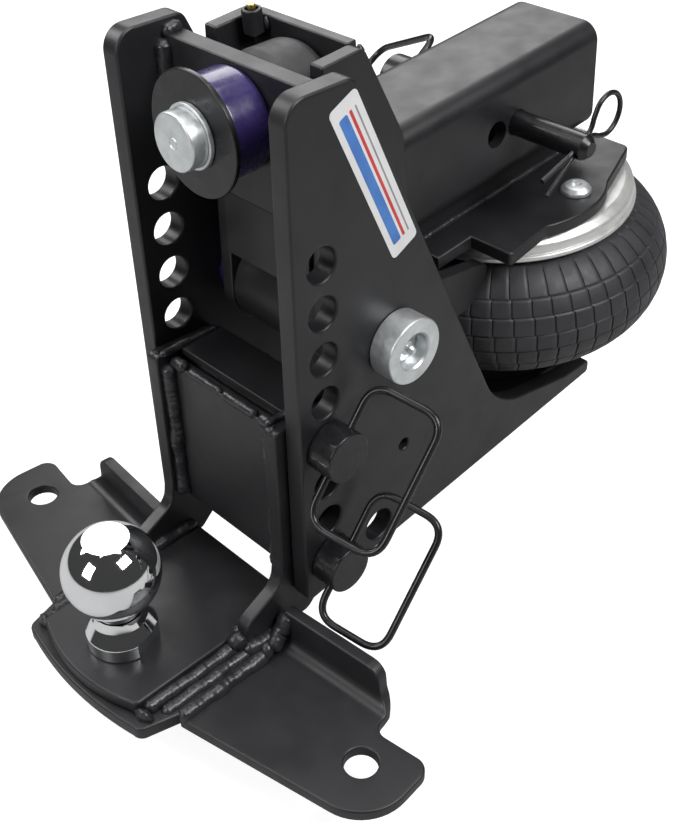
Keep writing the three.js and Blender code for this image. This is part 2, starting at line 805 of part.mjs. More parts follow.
function buildBall() {
  const profile = [
    [0, -53 - 56.2],
    [BALL_SHANK_RADIUS - 1.5, -53 - 56.2],
    [BALL_SHANK_RADIUS, -51.5 - 56.2],
    [BALL_SHANK_RADIUS, -56.2 + GAP],
    [22, -56.2 + GAP],
    [22, -46],
    [16.5, -38],
    [14.6, -33],
    [14.6, -29],
  ];
  const from = Math.acos(-0.866);
  const to = Math.acos(BALL_FLAT_HEIGHT / BALL_RADIUS);
  const steps = 9;
  for (let i = 0; i <= steps; i += 1) {
    const angle = from + ((to - from) * i) / steps;
    profile.push([BALL_RADIUS * Math.sin(angle), BALL_RADIUS * Math.cos(angle)]);
  }
  profile.push([0, BALL_FLAT_HEIGHT]);
  const ball = turned(profile, 26);
  // Two wrench flats on the collar.
  const flats = [1, -1].map((side) =>
    new THREE.BoxGeometry(60, 10, 12).translate(0, side * 24, -50.5).rotateZ(0.35),
  );
  add("hitch_ball", cut(ball, ...flats).translate(BALL_X, 0, BALL_CENTRE_Z), CHROME);

  const washerTop = BASE_PLATE_BOTTOM_Z - GAP;
  const washer = ring(BALL_SHANK_RADIUS + 0.5, 21, washerTop - 5, washerTop, 28);
  add("ball_lock_washer", washer.translate(BALL_X, 0, 0), ZINC);
  const nutTop = washerTop - 5 - GAP;
  const hexagon = rod(22, nutTop - 21, nutTop, 6);
  const drill = rod(BALL_SHANK_RADIUS + 0.4, nutTop - 30, nutTop + 5, 24);
  add("ball_nut", cut(hexagon, drill).translate(BALL_X, 0, 0), ZINC);
}

// ---------------------------------------------------------------- hitch pins

// A pin along Y with its head at negative Y. The face of the head is at y = -reach.
function pinBody(radius, seat, tip, clipY, holeTurn, clipTurn) {
  const headEnd = seat + HEAD_LENGTH;
  const body = alongY(
    turned(
      [
        [0, -headEnd],
        [HEAD_RADIUS - 1, -headEnd],
        [HEAD_RADIUS, -headEnd + 1],
        [HEAD_RADIUS, -seat],
        [radius, -seat],
        [radius, tip - 4],
        [radius - 3.5, tip],
        [0, tip],
      ],
      20,
    ),
  );
  const crossHole = alongX(rod(BAIL_WIRE_RADIUS + 0.4, -30, 30, 10)).rotateY(-holeTurn);
  crossHole.translate(0, -(headEnd - 8), 0);
  const clipHole = alongX(rod(CLIP_WIRE_RADIUS * 2 + 0.5, -30, 30, 10)).rotateY(clipTurn);
  clipHole.translate(0, clipY, 0);
  return cut(body, crossHole, clipHole);
}

// A bail: a wire loop whose two ends sit in the head's cross hole. In its own frame the hinge
// side lies on X and the loop reaches out along -Z.
function bailWire(halfWidth, reach) {
  const path = new THREE.CurvePath();
  const c = BAIL_CORNER;
  const w = halfWidth;
  const far = -reach;
  const at = (x, z) => new THREE.Vector3(x, 0, z);
  path.add(new THREE.LineCurve3(at(-4, 0), at(-(w - c), 0)));
  path.add(new THREE.QuadraticBezierCurve3(at(-(w - c), 0), at(-w, 0), at(-w, -c)));
  path.add(new THREE.LineCurve3(at(-w, -c), at(-w, far + c)));
  path.add(new THREE.QuadraticBezierCurve3(at(-w, far + c), at(-w, far), at(-(w - c), far)));
  path.add(new THREE.LineCurve3(at(-(w - c), far), at(w - c, far)));
  path.add(new THREE.QuadraticBezierCurve3(at(w - c, far), at(w, far), at(w, far + c)));
  path.add(new THREE.LineCurve3(at(w, far + c), at(w, -c)));
  path.add(new THREE.QuadraticBezierCurve3(at(w, -c), at(w, 0), at(w - c, 0)));
  path.add(new THREE.LineCurve3(at(w - c, 0), at(4, 0)));
  return wire(path, BAIL_WIRE_RADIUS, 30, 3);
}

// A hairpin clip: a round bow, and two legs through the pin's hole that spread behind it.
function clipWire() {
  const half = CLIP_WIRE_RADIUS + 0.12;
  const centre = 27;
  const points = [];
  points.push(new THREE.Vector3(-36, 0, -6.5));
  points.push(new THREE.Vector3(-14, 0, -half - 0.6));
  points.push(new THREE.Vector3(-9, 0, -half));
  points.push(new THREE.Vector3(9, 0, -half));
  const bowSteps = 8;
  for (let i = 0; i <= bowSteps; i += 1) {
    const angle = Math.PI * (-0.78 + (1.56 * i) / bowSteps);
    const x = centre + CLIP_BOW_RADIUS * Math.cos(angle);
    points.push(new THREE.Vector3(x, 0, CLIP_BOW_RADIUS * Math.sin(angle)));
  }
  points.push(new THREE.Vector3(9, 0, half));
  points.push(new THREE.Vector3(-9, 0, half));
  points.push(new THREE.Vector3(-14, 0, half + 0.6));
  points.push(new THREE.Vector3(-36, 0, 6.5));
  const curve = new THREE.CatmullRomCurve3(points, false, "centripetal");
  return wire(curve, CLIP_WIRE_RADIUS, 36, 2);
}

function buildPins() {
  const seat = FRAME_HALF_WIDTH + 0.6;
  const tip = 86;
  const clipY = 76.5;
  const ballPins = [
    { stem: "upper", hole: UPPER_PIN_HOLE, slide: 0 },
    { stem: "lower", hole: LOWER_PIN_HOLE, slide: LOWER_BAIL_SLIDE },
  ];
  for (const { stem, hole, slide } of ballPins) {
    const z = holeZ(hole);
    const body = pinBody(
      BALL_PIN_RADIUS, seat, tip, clipY, BALL_BAIL_TURN, BALL_PIN_CLIP_TURN,
    );
    add(`${stem}_pin`, body.translate(HOLE_COLUMN_X, 0, z), GLOSS_BLACK);
    const bail = bailWire(BALL_BAIL_HALF_WIDTH, BALL_BAIL_REACH);
    bail.translate(slide, 0, 0).rotateX(-BALL_BAIL_LEAN).rotateY(-BALL_BAIL_TURN);
    bail.translate(HOLE_COLUMN_X, -(seat + HEAD_LENGTH - 8), z);
    add(`${stem}_bail`, bail, GLOSS_BLACK);
    const clip = clipWire().rotateY(BALL_PIN_CLIP_TURN).translate(HOLE_COLUMN_X, clipY, z);
    add(`${stem}_clip`, clip, GLOSS_BLACK);
  }

  // The receiver pin goes in from the left, so its head is at positive Y.
  const turn = RECEIVER_BAIL_TURN - ARM_TILT;
  const place = (geometry) => geometry.translate(SHANK_PIN_X, 0, TUBE_MID);
  const clipTurn = RECEIVER_CLIP_TURN;
  const body = pinBody(SHANK_PIN_RADIUS, SHANK_PIN_SEAT, 90, 82, -turn, -clipTurn);
  body.rotateZ(Math.PI);
  add("receiver_pin", place(body), GLOSS_BLACK, arm);
  const bail = bailWire(RECEIVER_BAIL_HALF_WIDTH, RECEIVER_BAIL_REACH);
  bail.rotateX(RECEIVER_BAIL_LEAN).rotateY(-turn);
  bail.translate(0, SHANK_PIN_SEAT + HEAD_LENGTH - 8, 0);
  add("receiver_bail", place(bail), GLOSS_BLACK, arm);
  const clip = clipWire().rotateY(clipTurn).translate(0, -82, 0);
  add("receiver_clip", place(clip), GLOSS_BLACK, arm);
}

buildHead();
buildPivot();
buildArm();
buildRebound();
buildAirSpring();
buildAirLine();
buildBallMount();
buildBall();
buildPins();

hitch.position.set(-BALL_X, 0, -(BALL_CENTRE_Z + BALL_FLAT_HEIGHT));

export default hitch;
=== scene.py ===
"""An air-ride weight distribution hitch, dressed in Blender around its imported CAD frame.

Sizes in the builders below are millimetres about the centre of the main pivot pin, as in the CAD.
settle() scales them to metres and moves them to the frame's origin on top of the hitch ball.
"""
import math
import bmesh
import bpy
from mathutils import Matrix, Vector, noise


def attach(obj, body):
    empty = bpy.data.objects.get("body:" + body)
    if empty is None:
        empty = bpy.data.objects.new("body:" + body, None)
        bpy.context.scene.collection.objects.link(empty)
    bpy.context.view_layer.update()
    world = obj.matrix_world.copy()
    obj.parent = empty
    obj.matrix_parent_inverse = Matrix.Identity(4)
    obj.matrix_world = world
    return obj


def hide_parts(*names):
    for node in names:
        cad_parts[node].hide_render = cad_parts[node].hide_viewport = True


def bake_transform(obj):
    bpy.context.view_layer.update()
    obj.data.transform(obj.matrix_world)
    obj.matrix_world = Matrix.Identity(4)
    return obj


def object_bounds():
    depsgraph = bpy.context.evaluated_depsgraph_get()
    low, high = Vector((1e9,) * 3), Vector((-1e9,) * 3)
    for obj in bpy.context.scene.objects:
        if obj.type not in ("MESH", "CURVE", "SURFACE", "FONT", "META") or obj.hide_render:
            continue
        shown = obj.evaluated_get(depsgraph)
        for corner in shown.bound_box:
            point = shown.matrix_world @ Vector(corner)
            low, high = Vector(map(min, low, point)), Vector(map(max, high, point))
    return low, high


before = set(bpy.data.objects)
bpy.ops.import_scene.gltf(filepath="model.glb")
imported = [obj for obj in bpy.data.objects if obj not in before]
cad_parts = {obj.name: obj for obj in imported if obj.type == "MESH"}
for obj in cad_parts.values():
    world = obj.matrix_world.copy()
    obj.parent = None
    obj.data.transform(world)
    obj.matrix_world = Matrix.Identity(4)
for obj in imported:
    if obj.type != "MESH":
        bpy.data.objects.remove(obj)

frame_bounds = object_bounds()
scene = bpy.context.scene

MM = 0.001
ORIGIN = Matrix.Translation((0.1625, 0.0, 0.0898))  # main pivot pin, seen from the frame's origin
TILT = 0.082  # radians, the shank arm's rise towards the vehicle
ARM = Matrix.Rotation(-TILT, 4, "Y")
STILL = Matrix.Identity(4)
UPRIGHT = Matrix(((1, 0, 0, 0), (0, 0, -1, 0), (0, 1, 0, 0), (0, 0, 0, 1)))  # drawn in X and Z
FACING = Matrix(((0, 0, 1, 0), (1, 0, 0, 0), (0, 1, 0, 0), (0, 0, 0, 1)))  # drawn in Y and Z
ALONG_X = Matrix.Rotation(math.pi / 2, 4, "Y")
ALONG_Y = Matrix.Rotation(-math.pi / 2, 4, "X")
FLIP_Y = Matrix.Diagonal((1, -1, 1, 1))

# ---------------------------------------------------------------- dimensions

PLATE_IN, PLATE_OUT = 58.0, 70.5  # side plates' faces, from the mid-plane
PLATE_SPAN = 57.7  # half the width of pieces fitted between the side plates
ARM_IN, ARM_OUT = 35.4, 44.9  # arm plates' faces, from the mid-plane
ARM_SPAN = 35.1  # half the width of pieces fitted between the arm plates
PIVOT_PIN_RADIUS, PIVOT_BORE = 10.6, 11.0
BOTTOM_SLOPE, BOTTOM_AT_PIVOT = 0.108, -150.3
HOLE_X, HOLE_TOP, HOLE_PITCH, HOLE_RADIUS = -54, 72, 29, 10
REBOUND_Z, REBOUND_PIN_RADIUS, REBOUND_BORE = 126.2, 15.6, 15.9
CROSS_FRONT, CROSS_REAR = -43.5, -31.0
TUBE_TOP, TUBE_SIZE, TUBE_WALL = 95.5, 70.0, 7.0
TUBE_REAR, TUBE_FRONT = 20.8, 230
TUBE_MID = TUBE_TOP - TUBE_SIZE / 2
SHANK_PIN_X, SPARE_HOLE_X = 151.0, 131.5
BAG_X, BAG_RADIUS, BAG_BOTTOM = 182.0, 113.0, -104.0
BAG_PLATE_LOW, BAG_PLATE_TOP = 1.2, 10.0
BEAD_LOW = -15.0
SCREW_X, SCREW_Y = BAG_X - 4, 62
CHEEK_IN, CHEEK_OUT = 47.8, 57.4
CHEEK_SPAN = 47.5  # half the width of pieces fitted between the cheeks
UPPER_PIN_Z, LOWER_PIN_Z = -44, -131
BALL_PLATE_TOP, BASE_TOP, BASE_LOW = -172.0, -181.6, -190.9
BALL_X, BALL_Z, BALL_RADIUS = -162.5, -115.8, 29.37
BALL_FLAT, BALL_SHANK_HOLE = 26.0, 13.0
TAB_TOP, TAB_LOW = -185.5, -193.5


def bottom_z(x):
    """The height of the side plates' lower edge."""
    return BOTTOM_AT_PIVOT + BOTTOM_SLOPE * x


def at(x=0.0, y=0.0, z=0.0):
    return Matrix.Translation((x * MM, y * MM, z * MM))


def on_floor(x):
    """The place of a piece that rests 2 mm above the side plates' sloping lower edge."""
    return at(x, 0, bottom_z(x) + 2) @ Matrix.Rotation(-math.atan(BOTTOM_SLOPE), 4, "Y")


# ---------------------------------------------------------------- materials


class Look:
    """A procedural material under construction: noise-driven colour, roughness and bumps."""

    def __init__(self, name):
        self.material = bpy.data.materials.new(name)
        self.material.use_nodes = True
        self.nodes = self.material.node_tree.nodes
        self.links = self.material.node_tree.links
        self.shader = self.nodes["Principled BSDF"]
        self.place = self.nodes.new("ShaderNodeTexCoord").outputs["Object"]
        self.normal = None

    def set(self, **values):
        for key, value in values.items():
            self.shader.inputs[key.replace("_", " ")].default_value = value
        return self

    def noise(self, scale, detail=4.0, stretch=None):
        source = self.place
        if stretch:
            mapping = self.nodes.new("ShaderNodeMapping")
            mapping.inputs["Scale"].default_value = stretch
            self.links.new(source, mapping.inputs["Vector"])
            source = mapping.outputs["Vector"]
        texture = self.nodes.new("ShaderNodeTexNoise")
        texture.inputs["Scale"].default_value = scale
        texture.inputs["Detail"].default_value = detail
        self.links.new(source, texture.inputs["Vector"])
        return texture.outputs["Fac"]

    def between(self, fac, low, high, edges=(0.3, 0.7)):
        """A ramp from low to high, which are greys or RGB colours."""
        ramp = self.nodes.new("ShaderNodeValToRGB")
        for element, value, edge in zip(ramp.color_ramp.elements, (low, high), edges):
            element.position = edge
            rgb = value if isinstance(value, tuple) else (value,) * 3
            element.color = (*rgb, 1)
        self.links.new(fac, ramp.inputs["Fac"])
        return ramp.outputs["Color"]

    def drive(self, key, output):
        self.links.new(output, self.shader.inputs[key])
        return self

    def bump(self, height, strength, distance):
        node = self.nodes.new("ShaderNodeBump")
        node.inputs["Strength"].default_value = strength
        node.inputs["Distance"].default_value = distance
        self.links.new(height, node.inputs["Height"])
        if self.normal:
            self.links.new(self.normal, node.inputs["Normal"])
        self.normal = node.outputs["Normal"]
        self.links.new(self.normal, self.shader.inputs["Normal"])
        return self


def finish(name, colour, tones, rough, roughness, *bumps, **inputs):
    """A material whose colour and roughness wander between two values, over fine bumps.

    colour and rough are noise settings; each bump is (noise settings, strength, distance).
    """
    look = Look(name).set(**inputs)
    look.drive("Base Color", look.between(look.noise(*colour), *tones))
    look.drive("Roughness", look.between(look.noise(*rough), *roughness))
    for grain, strength, distance in bumps:
        look.bump(look.noise(*grain), strength, distance)
    return look.material


def make_looks():
    looks = {
        "powder_coat": finish(
            "powder_coat", (22, 5), ((0.012, 0.012, 0.0135), (0.017, 0.017, 0.0195)),
            (60, 6), (0.34, 0.46), ((1500, 3), 0.16, 0.0002), ((160, 3), 0.10, 0.0004),
            Metallic=0.0, Specular_IOR_Level=0.5),
        "weld": finish(
            "weld_coat", (90,), ((0.015, 0.015, 0.017), (0.03, 0.03, 0.034)),
            (240,), (0.25, 0.42), ((420, 5), 0.5, 0.0006),
            Metallic=0.0, Specular_IOR_Level=0.55),
        "gloss_black": finish(
            "gloss_black", (70,), ((0.006, 0.006, 0.007), (0.014, 0.014, 0.016)),
            (180,), (0.24, 0.38), ((900, 2), 0.06, 0.0002),
            Metallic=0.0, Specular_IOR_Level=0.35, Coat_Weight=0.2),
        "zinc": finish(
            "zinc", (120, 6), ((0.66, 0.68, 0.69), (0.84, 0.87, 0.88)),
            (300, 5), (0.30, 0.50), ((700, 5), 0.12, 0.0003), Metallic=0.8),
        "chrome": finish(
            "chrome", (40,), ((0.86, 0.87, 0.88), (0.93, 0.94, 0.95)),
            (200, 5), (0.03, 0.07), ((45, 2), 0.05, 0.0004), Metallic=1.0),
        "bead_metal": finish(
            "bead_metal", (60,), ((0.72, 0.73, 0.71), (0.84, 0.85, 0.83)),
            (260, 4), (0.30, 0.42), ((500, 3), 0.05, 0.0003), Metallic=0.65),
        "rubber": finish(
            "rubber", (50, 5), ((0.026, 0.026, 0.029), (0.040, 0.040, 0.044)),
            (180, 5), (0.42, 0.58), ((800, 4), 0.15, 0.0003),
            Metallic=0.0, Specular_IOR_Level=0.45),
        "cushion_rubber": finish(
            "cushion_rubber", (60, 5), ((0.03, 0.03, 0.032), (0.05, 0.05, 0.053)),
            (200, 4), (0.5, 0.65), ((600, 4), 0.2, 0.0003),
            Metallic=0.0, Specular_IOR_Level=0.4),
        "urethane": finish(
            "urethane", (30, 3), ((0.020, 0.012, 0.07), (0.034, 0.022, 0.11)),
            (200, 3), (0.2, 0.34), ((300, 2), 0.06, 0.0003),
            Metallic=0.0, Specular_IOR_Level=0.6, Coat_Weight=0.3),
        "brass": finish(
            "brass", (90,), ((0.55, 0.39, 0.13), (0.72, 0.54, 0.24)),
            (240, 4), (0.24, 0.4), ((60, 2, (1, 1, 30)), 0.08, 0.0002), Metallic=1.0),
        "hose": finish(
            "hose", (80,), ((0.008, 0.008, 0.009), (0.018, 0.018, 0.02)),
            (300,), (0.35, 0.5), ((500, 3), 0.08, 0.0002), Metallic=0.0),
    }
    inks = {
        "label_white": ((0.80, 0.80, 0.80), (0.86, 0.86, 0.86)),
        "label_blue": ((0.05, 0.17, 0.52), (0.08, 0.25, 0.66)),
        "label_red": ((0.60, 0.03, 0.04), (0.74, 0.06, 0.06)),
        "label_grey": ((0.28, 0.28, 0.29), (0.36, 0.36, 0.37)),
    }
    for name, tones in inks.items():
        looks[name] = finish(
            name, (80, 5), tones, (400,), (0.28, 0.36), ((700, 2), 0.04, 0.0001), Metallic=0.0)
    return looks


LOOKS = make_looks()

# ---------------------------------------------------------------- meshes


def rounded(corners, step=0.12):
    """The points of an outline whose corners (u, v, radius) are arcs."""
    points = []
    for index, (u, v, *rest) in enumerate(corners):
        radius = rest[0] if rest else 0
        here = Vector((u, v))
        if not radius:
            points.append((u, v))
            continue
        back = (Vector(corners[index - 1][:2]) - here).normalized()
        ahead = (Vector(corners[(index + 1) % len(corners)][:2]) - here).normalized()
        half = back.angle(ahead) / 2
        centre = here + (back + ahead).normalized() * (radius / math.sin(half))
        start = here + back * (radius / math.tan(half)) - centre
        end = here + ahead * (radius / math.tan(half)) - centre
        first = math.atan2(start.y, start.x)
        sweep = (math.atan2(end.y, end.x) - first + math.pi) % math.tau - math.pi
        count = max(2, math.ceil(abs(sweep) / step))
        for k in range(count + 1):
            angle = first + sweep * k / count
            arm = Vector((math.cos(angle), math.sin(angle))) * radius
            points.append((centre.x + arm.x, centre.y + arm.y))
    return points


def circle(u, v, radius, count=48):
    angles = (math.tau * k / count for k in range(count))
    return [(u + radius * math.cos(a), v + radius * math.sin(a)) for a in angles]


def square(half, radius):
    """A square outline about the origin with rounded corners."""
    return rounded([(u * half, v * half, radius) for u, v in ((-1, -1), (1, -1), (1, 1), (-1, 1))])


def bezier(a, b, c, count):
    """Points of a quadratic curve from a to c, pulled towards b."""
    points = []
    for k in range(count + 1):
        t = k / count
        points.append(tuple(
            (1 - t) ** 2 * p + 2 * t * (1 - t) * q + t * t * r for p, q, r in zip(a, b, c)))
    return points


def to_object(name, mesh):
    obj = bpy.data.objects.new(name, mesh)
    scene.collection.objects.link(obj)
    return obj


def bake_curve(name, curve):
    """Turns a curve into a mesh object and removes the curve."""
    source = to_object(name + "_curve", curve)
    graph = bpy.context.evaluated_depsgraph_get()
    mesh = bpy.data.meshes.new_from_object(source.evaluated_get(graph))
    bpy.data.objects.remove(source)
    bpy.data.curves.remove(curve)
    bm = bmesh.new()
    bm.from_mesh(mesh)
    bmesh.ops.remove_doubles(bm, verts=bm.verts, dist=2e-6)
    bmesh.ops.recalc_face_normals(bm, faces=bm.faces)
    bm.to_mesh(mesh)
    bm.free()
    mesh.name = name
    return to_object(name, mesh)


def plate(name, loops, low, high, bevel=1.2):
    """A flat plate from closed loops (u, v), with softened edges, between two heights."""
    curve = bpy.data.curves.new(name, "CURVE")
    curve.dimensions = "2D"
    curve.fill_mode = "BOTH"
    curve.extrude = ((high - low) / 2 - bevel) * MM
    curve.bevel_depth = bevel * MM
    curve.bevel_resolution = 2
    curve.offset = -bevel * MM
    for loop in loops:
        spline = curve.splines.new("POLY")
        spline.points.add(len(loop) - 1)
        for point, (u, v) in zip(spline.points, loop):
            point.co = (u * MM, v * MM, 0, 1)
        spline.use_cyclic_u = True
    obj = bake_curve(name, curve)
    obj.data.transform(at(z=(low + high) / 2))
    return obj


def upright(name, loops, y_low, y_high, bevel):
    """A plate that stands in the X-Z plane, between two values of Y."""
    obj = plate(name, loops, -y_high, -y_low, bevel)
    obj.data.transform(UPRIGHT)
    return obj


def facing(name, loops, x_low, x_high, bevel=1.2):
    """A plate that stands in the Y-Z plane, between two values of X."""
    obj = plate(name, loops, x_low, x_high, bevel)
    obj.data.transform(FACING)
    return obj


def mesh_from(name, points, faces):
    mesh = bpy.data.meshes.new(name)
    mesh.from_pydata([Vector(p) * MM for p in points], [], faces)
    bm = bmesh.new()
    bm.from_mesh(mesh)
    bmesh.ops.remove_doubles(bm, verts=bm.verts, dist=1e-7)
    bmesh.ops.recalc_face_normals(bm, faces=bm.faces)
    bm.to_mesh(mesh)
    bm.free()
    return to_object(name, mesh)


def grid(name, rows, wrap_rows=False):
    """A skin over rows of points. Each row is a closed ring; the end rows are capped or joined."""
    count = len(rows[0])
    points = [p for row in rows for p in row]
    faces = []
    for i in range(len(rows) if wrap_rows else len(rows) - 1):
        for k in range(count):
            a, b = i * count, (i + 1) % len(rows) * count
            faces.append((a + k, a + (k + 1) % count, b + (k + 1) % count, b + k))
    if not wrap_rows:
        faces.append(tuple(range(count)))
        faces.append(tuple(range((len(rows) - 1) * count, len(rows) * count)))
    return mesh_from(name, points, faces)


def turned(name, corners, count=64, closed=False):
    """A turned piece around Z from corners (radius, height, fillet).

    A closed profile goes all the way round a bore.
    """
    profile = rounded(corners, 0.35)
    rows = [
        [(r * math.cos(math.tau * k / count), r * math.sin(math.tau * k / count), h)
         for k in range(count)]
        for r, h in profile
    ]
    return grid(name, rows, wrap_rows=closed)


def wire(name, points, radius):
    """A round wire along a path, with closed ends."""
    curve = bpy.data.curves.new(name, "CURVE")
    curve.dimensions = "3D"
    curve.bevel_depth = radius * MM
    curve.bevel_resolution = 5
    curve.use_fill_caps = True
    spline = curve.splines.new("POLY")
    spline.points.add(len(points) - 1)
    for target, point in zip(spline.points, points):
        target.co = (*(Vector(point) * MM), 1)
    return bake_curve(name, curve)


def smooth_path(points, steps=10):
    """Catmull-Rom points through the given ones."""
    given = [Vector(p) for p in points]
    padded = [given[0] * 2 - given[1], *given, given[-1] * 2 - given[-2]]
    path = []
    for p0, p1, p2, p3 in zip(padded, padded[1:], padded[2:], padded[3:]):
        for k in range(steps):
            t = k / steps
            path.append(0.5 * (2 * p1 + (p2 - p0) * t + (2 * p0 - 5 * p1 + 4 * p2 - p3) * t * t
                               + (3 * p1 - p0 - 3 * p2 + p3) * t ** 3))
    path.append(given[-1])
    return path


def weld_bead(name, points, radius, seed=0):
    """A weld bead along a polyline: overlapping ripples, a little uneven in width and line."""
    spacing, ripple, sides = 0.9, 3.4, 12
    path = [Vector(p) for p in points]
    samples = []
    for start, end in zip(path, path[1:]):
        count = max(1, round((end - start).length / spacing))
        samples += [start.lerp(end, k / count) for k in range(count)]
    samples.append(path[-1])
    rows = []
    travelled = 0.0
    for index, here in enumerate(samples):
        before = samples[max(index - 1, 0)]
        after = samples[min(index + 1, len(samples) - 1)]
        travelled += (here - before).length
        along = (after - before).normalized()
        side = along.orthogonal().normalized()
        across = along.cross(side)
        phase = travelled / ripple % 1
        swell = 0.97 + 0.045 * math.sin(math.pi * phase) ** 0.6
        spot = here * 0.11 + Vector((seed, 0, 0))
        wander = [noise.noise(spot + Vector((0, 0, apart))) for apart in (0, 17, 41)]
        drift = Vector(wander) * radius * 0.13
        swelling = noise.noise(here * 0.07 + Vector((seed, seed, 0)))
        end_taper = min(1.0, 0.35 + min(index, len(samples) - 1 - index) * 0.22)
        row = []
        for k in range(sides):
            angle = math.tau * k / sides
            direction = side * math.cos(angle) + across * math.sin(angle)
            lump = noise.noise(here * 0.35 + direction * 1.3 + Vector((0, seed, 0)))
            size = radius * swell * end_taper * (1 + 0.10 * lump + 0.2 * swelling)
            row.append(here + drift + direction * size)
        rows.append(row)
    return grid(name, rows)


def carve(obj, *tools):
    """Cuts other meshes out of obj and removes them."""
    for tool in tools:
        cut = obj.modifiers.new("cut", "BOOLEAN")
        cut.operation = "DIFFERENCE"
        cut.solver = "EXACT"
        cut.object = tool
    graph = bpy.context.evaluated_depsgraph_get()
    mesh = bpy.data.meshes.new_from_object(obj.evaluated_get(graph))
    obj.modifiers.clear()
    obj.data = mesh
    for tool in tools:
        bpy.data.objects.remove(tool)
    return obj


# ---------------------------------------------------------------- putting pieces on the frame

HEAD = "hitch_head"
SHANK = "shank_arm"
ROUND = 1.2  # crease angle of welds and wires, which have no sharp edges along them


def settle(obj, look, body, *nodes, turn=STILL, crease=0.6):
    """Places a finished piece, gives it its material, and ties it to a body and CAD nodes.

    Edges sharper than crease, in radians, stay sharp in the shading.
    """
    obj.data.transform(turn)
    obj.data.transform(ORIGIN)
    obj.data.materials.clear()
    obj.data.materials.append(LOOKS[look])
    obj.data.shade_smooth()
    obj.data.set_sharp_from_angle(angle=crease)
    weighted = obj.modifiers.new("even_shading", "WEIGHTED_NORMAL")
    weighted.keep_sharp = True
    if body:
        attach(obj, body)
    if nodes:
        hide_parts(*nodes)


def settle_pair(obj, stem, look, body, *stems, turn=STILL, crease=0.6):
    """Settles obj on the left and its mirror image on the right."""
    obj.data.transform(turn)
    other = to_object("right_" + stem, obj.data.copy())
    other.data.transform(FLIP_Y)
    other.data.flip_normals()
    obj.name = "left_" + stem
    for piece, side in ((obj, "left_"), (other, "right_")):
        settle(piece, look, body, *(side + s for s in stems), crease=crease)


def settle_welds(stem, body, beads, turn=STILL):
    """Beads are (points, radius) on the left; each gets a twin on the right."""
    for number, (points, radius) in enumerate(beads, 1):
        mirrored = [(x, -y, z) for x, y, z in points]
        for side, path in (("left", points), ("right", mirrored)):
            name = f"{side}_{stem}_weld_{number}"
            bead = weld_bead(name, path, radius, seed=number * 3.7 + (side == "left") * 11)
            settle(bead, "weld", body, turn=turn, crease=ROUND)


# ---------------------------------------------------------------- hitch head


def build_head():
    side = rounded([
        (-74, bottom_z(-74), 6), (-74, 163.5, 13), (-29.2, 163.5, 8), (101.4, -103.2, 52),
        (178, -118, 0), (206, -118, 3), (206, bottom_z(206), 3),
    ])
    holes = [circle(HOLE_X, HOLE_TOP - i * HOLE_PITCH, HOLE_RADIUS) for i in range(8)]
    bracket_hole = circle(10, -81.5, 4, 24)
    chain_hole = circle(-11.5, -134, 11)
    holes += [circle(0, 0, PIVOT_BORE), bracket_hole, chain_hole]
    obj = upright("side", [side, *holes], PLATE_IN, PLATE_OUT, 1.5)
    settle_pair(obj, "side_plate_steel", "powder_coat", HEAD, "side_plate")

    low, top = 78, 155.4
    cross = rounded([
        (-PLATE_SPAN, low, 1), (-PLATE_SPAN, top, 1), (PLATE_SPAN, top, 1), (PLATE_SPAN, low, 1),
    ])
    loops = [cross, circle(0, REBOUND_Z, 20.8, 64)]
    obj = facing("cross_plate_steel", loops, CROSS_FRONT, CROSS_REAR)
    settle(obj, "powder_coat", HEAD, "front_cross_plate")

    length, thick = 104, 10
    slab = [(0, -PLATE_SPAN), (length, -PLATE_SPAN), (length, PLATE_SPAN), (0, PLATE_SPAN)]
    obj = plate("floor_plate_steel", [slab], 0, thick, 0.8)
    settle(obj, "powder_coat", HEAD, "floor_plate", turn=on_floor(99))

    settle_welds("cross_plate", HEAD, [
        ([(CROSS_FRONT - 1.6, 56.6, low + 2), (CROSS_FRONT - 1.6, 56.6, top - 2.4)], 4.8),
        ([(CROSS_FRONT - 1, 57.5, 155), (-37, 57, 157.5), (CROSS_REAR - 1, 57.5, 155)], 4.0),
    ])
    near, far = 104, 200
    settle_welds("floor", HEAD, [
        ([(near, 56.5, bottom_z(near) + 12.5), (far, 56.5, bottom_z(far) + 12.5)], 2.8),
    ])

    collar = [
        (10.9, 70.8), (20.4, 70.8, 0.6), (20.4, 86.5, 1.0), (12.0, 86.5, 0.6), (10.9, 85.2, 0.3),
    ]
    obj = turned("collar", collar, 96, closed=True)
    settle_pair(obj, "collar_zinc", "zinc", HEAD, "pivot_collar", turn=ALONG_Y)
    end, radius = 77.5, PIVOT_PIN_RADIUS
    pin = [(0, -end), (radius, -end, 0.6), (radius, end, 0.6), (0, end)]
    settle(turned("pivot_pin_steel", pin, 64), "zinc", HEAD, "pivot_pin", turn=ALONG_Y)
    fitting = [
        (0, 77.8), (4.4, 77.8, 0.2), (4.4, 80.8, 0.5), (2.4, 81.4, 0.2), (2.4, 82.8, 0.2),
        (3.0, 83.8, 0.4), (1.6, 85.8, 0.4), (0, 85.8),
    ]
    obj = turned("fitting", fitting, 24)
    settle_pair(obj, "grease_nipple", "zinc", HEAD, "grease_fitting", turn=ALONG_Y)
    bush = [
        (PIVOT_BORE, 45.2), (21, 45.2, 0.5), (21, PLATE_SPAN, 0.5), (PIVOT_BORE, PLATE_SPAN),
    ]
    obj = turned("bush", bush, 48, closed=True)
    settle_pair(obj, "thrust_washer", "urethane", HEAD, "thrust_bush", turn=ALONG_Y)


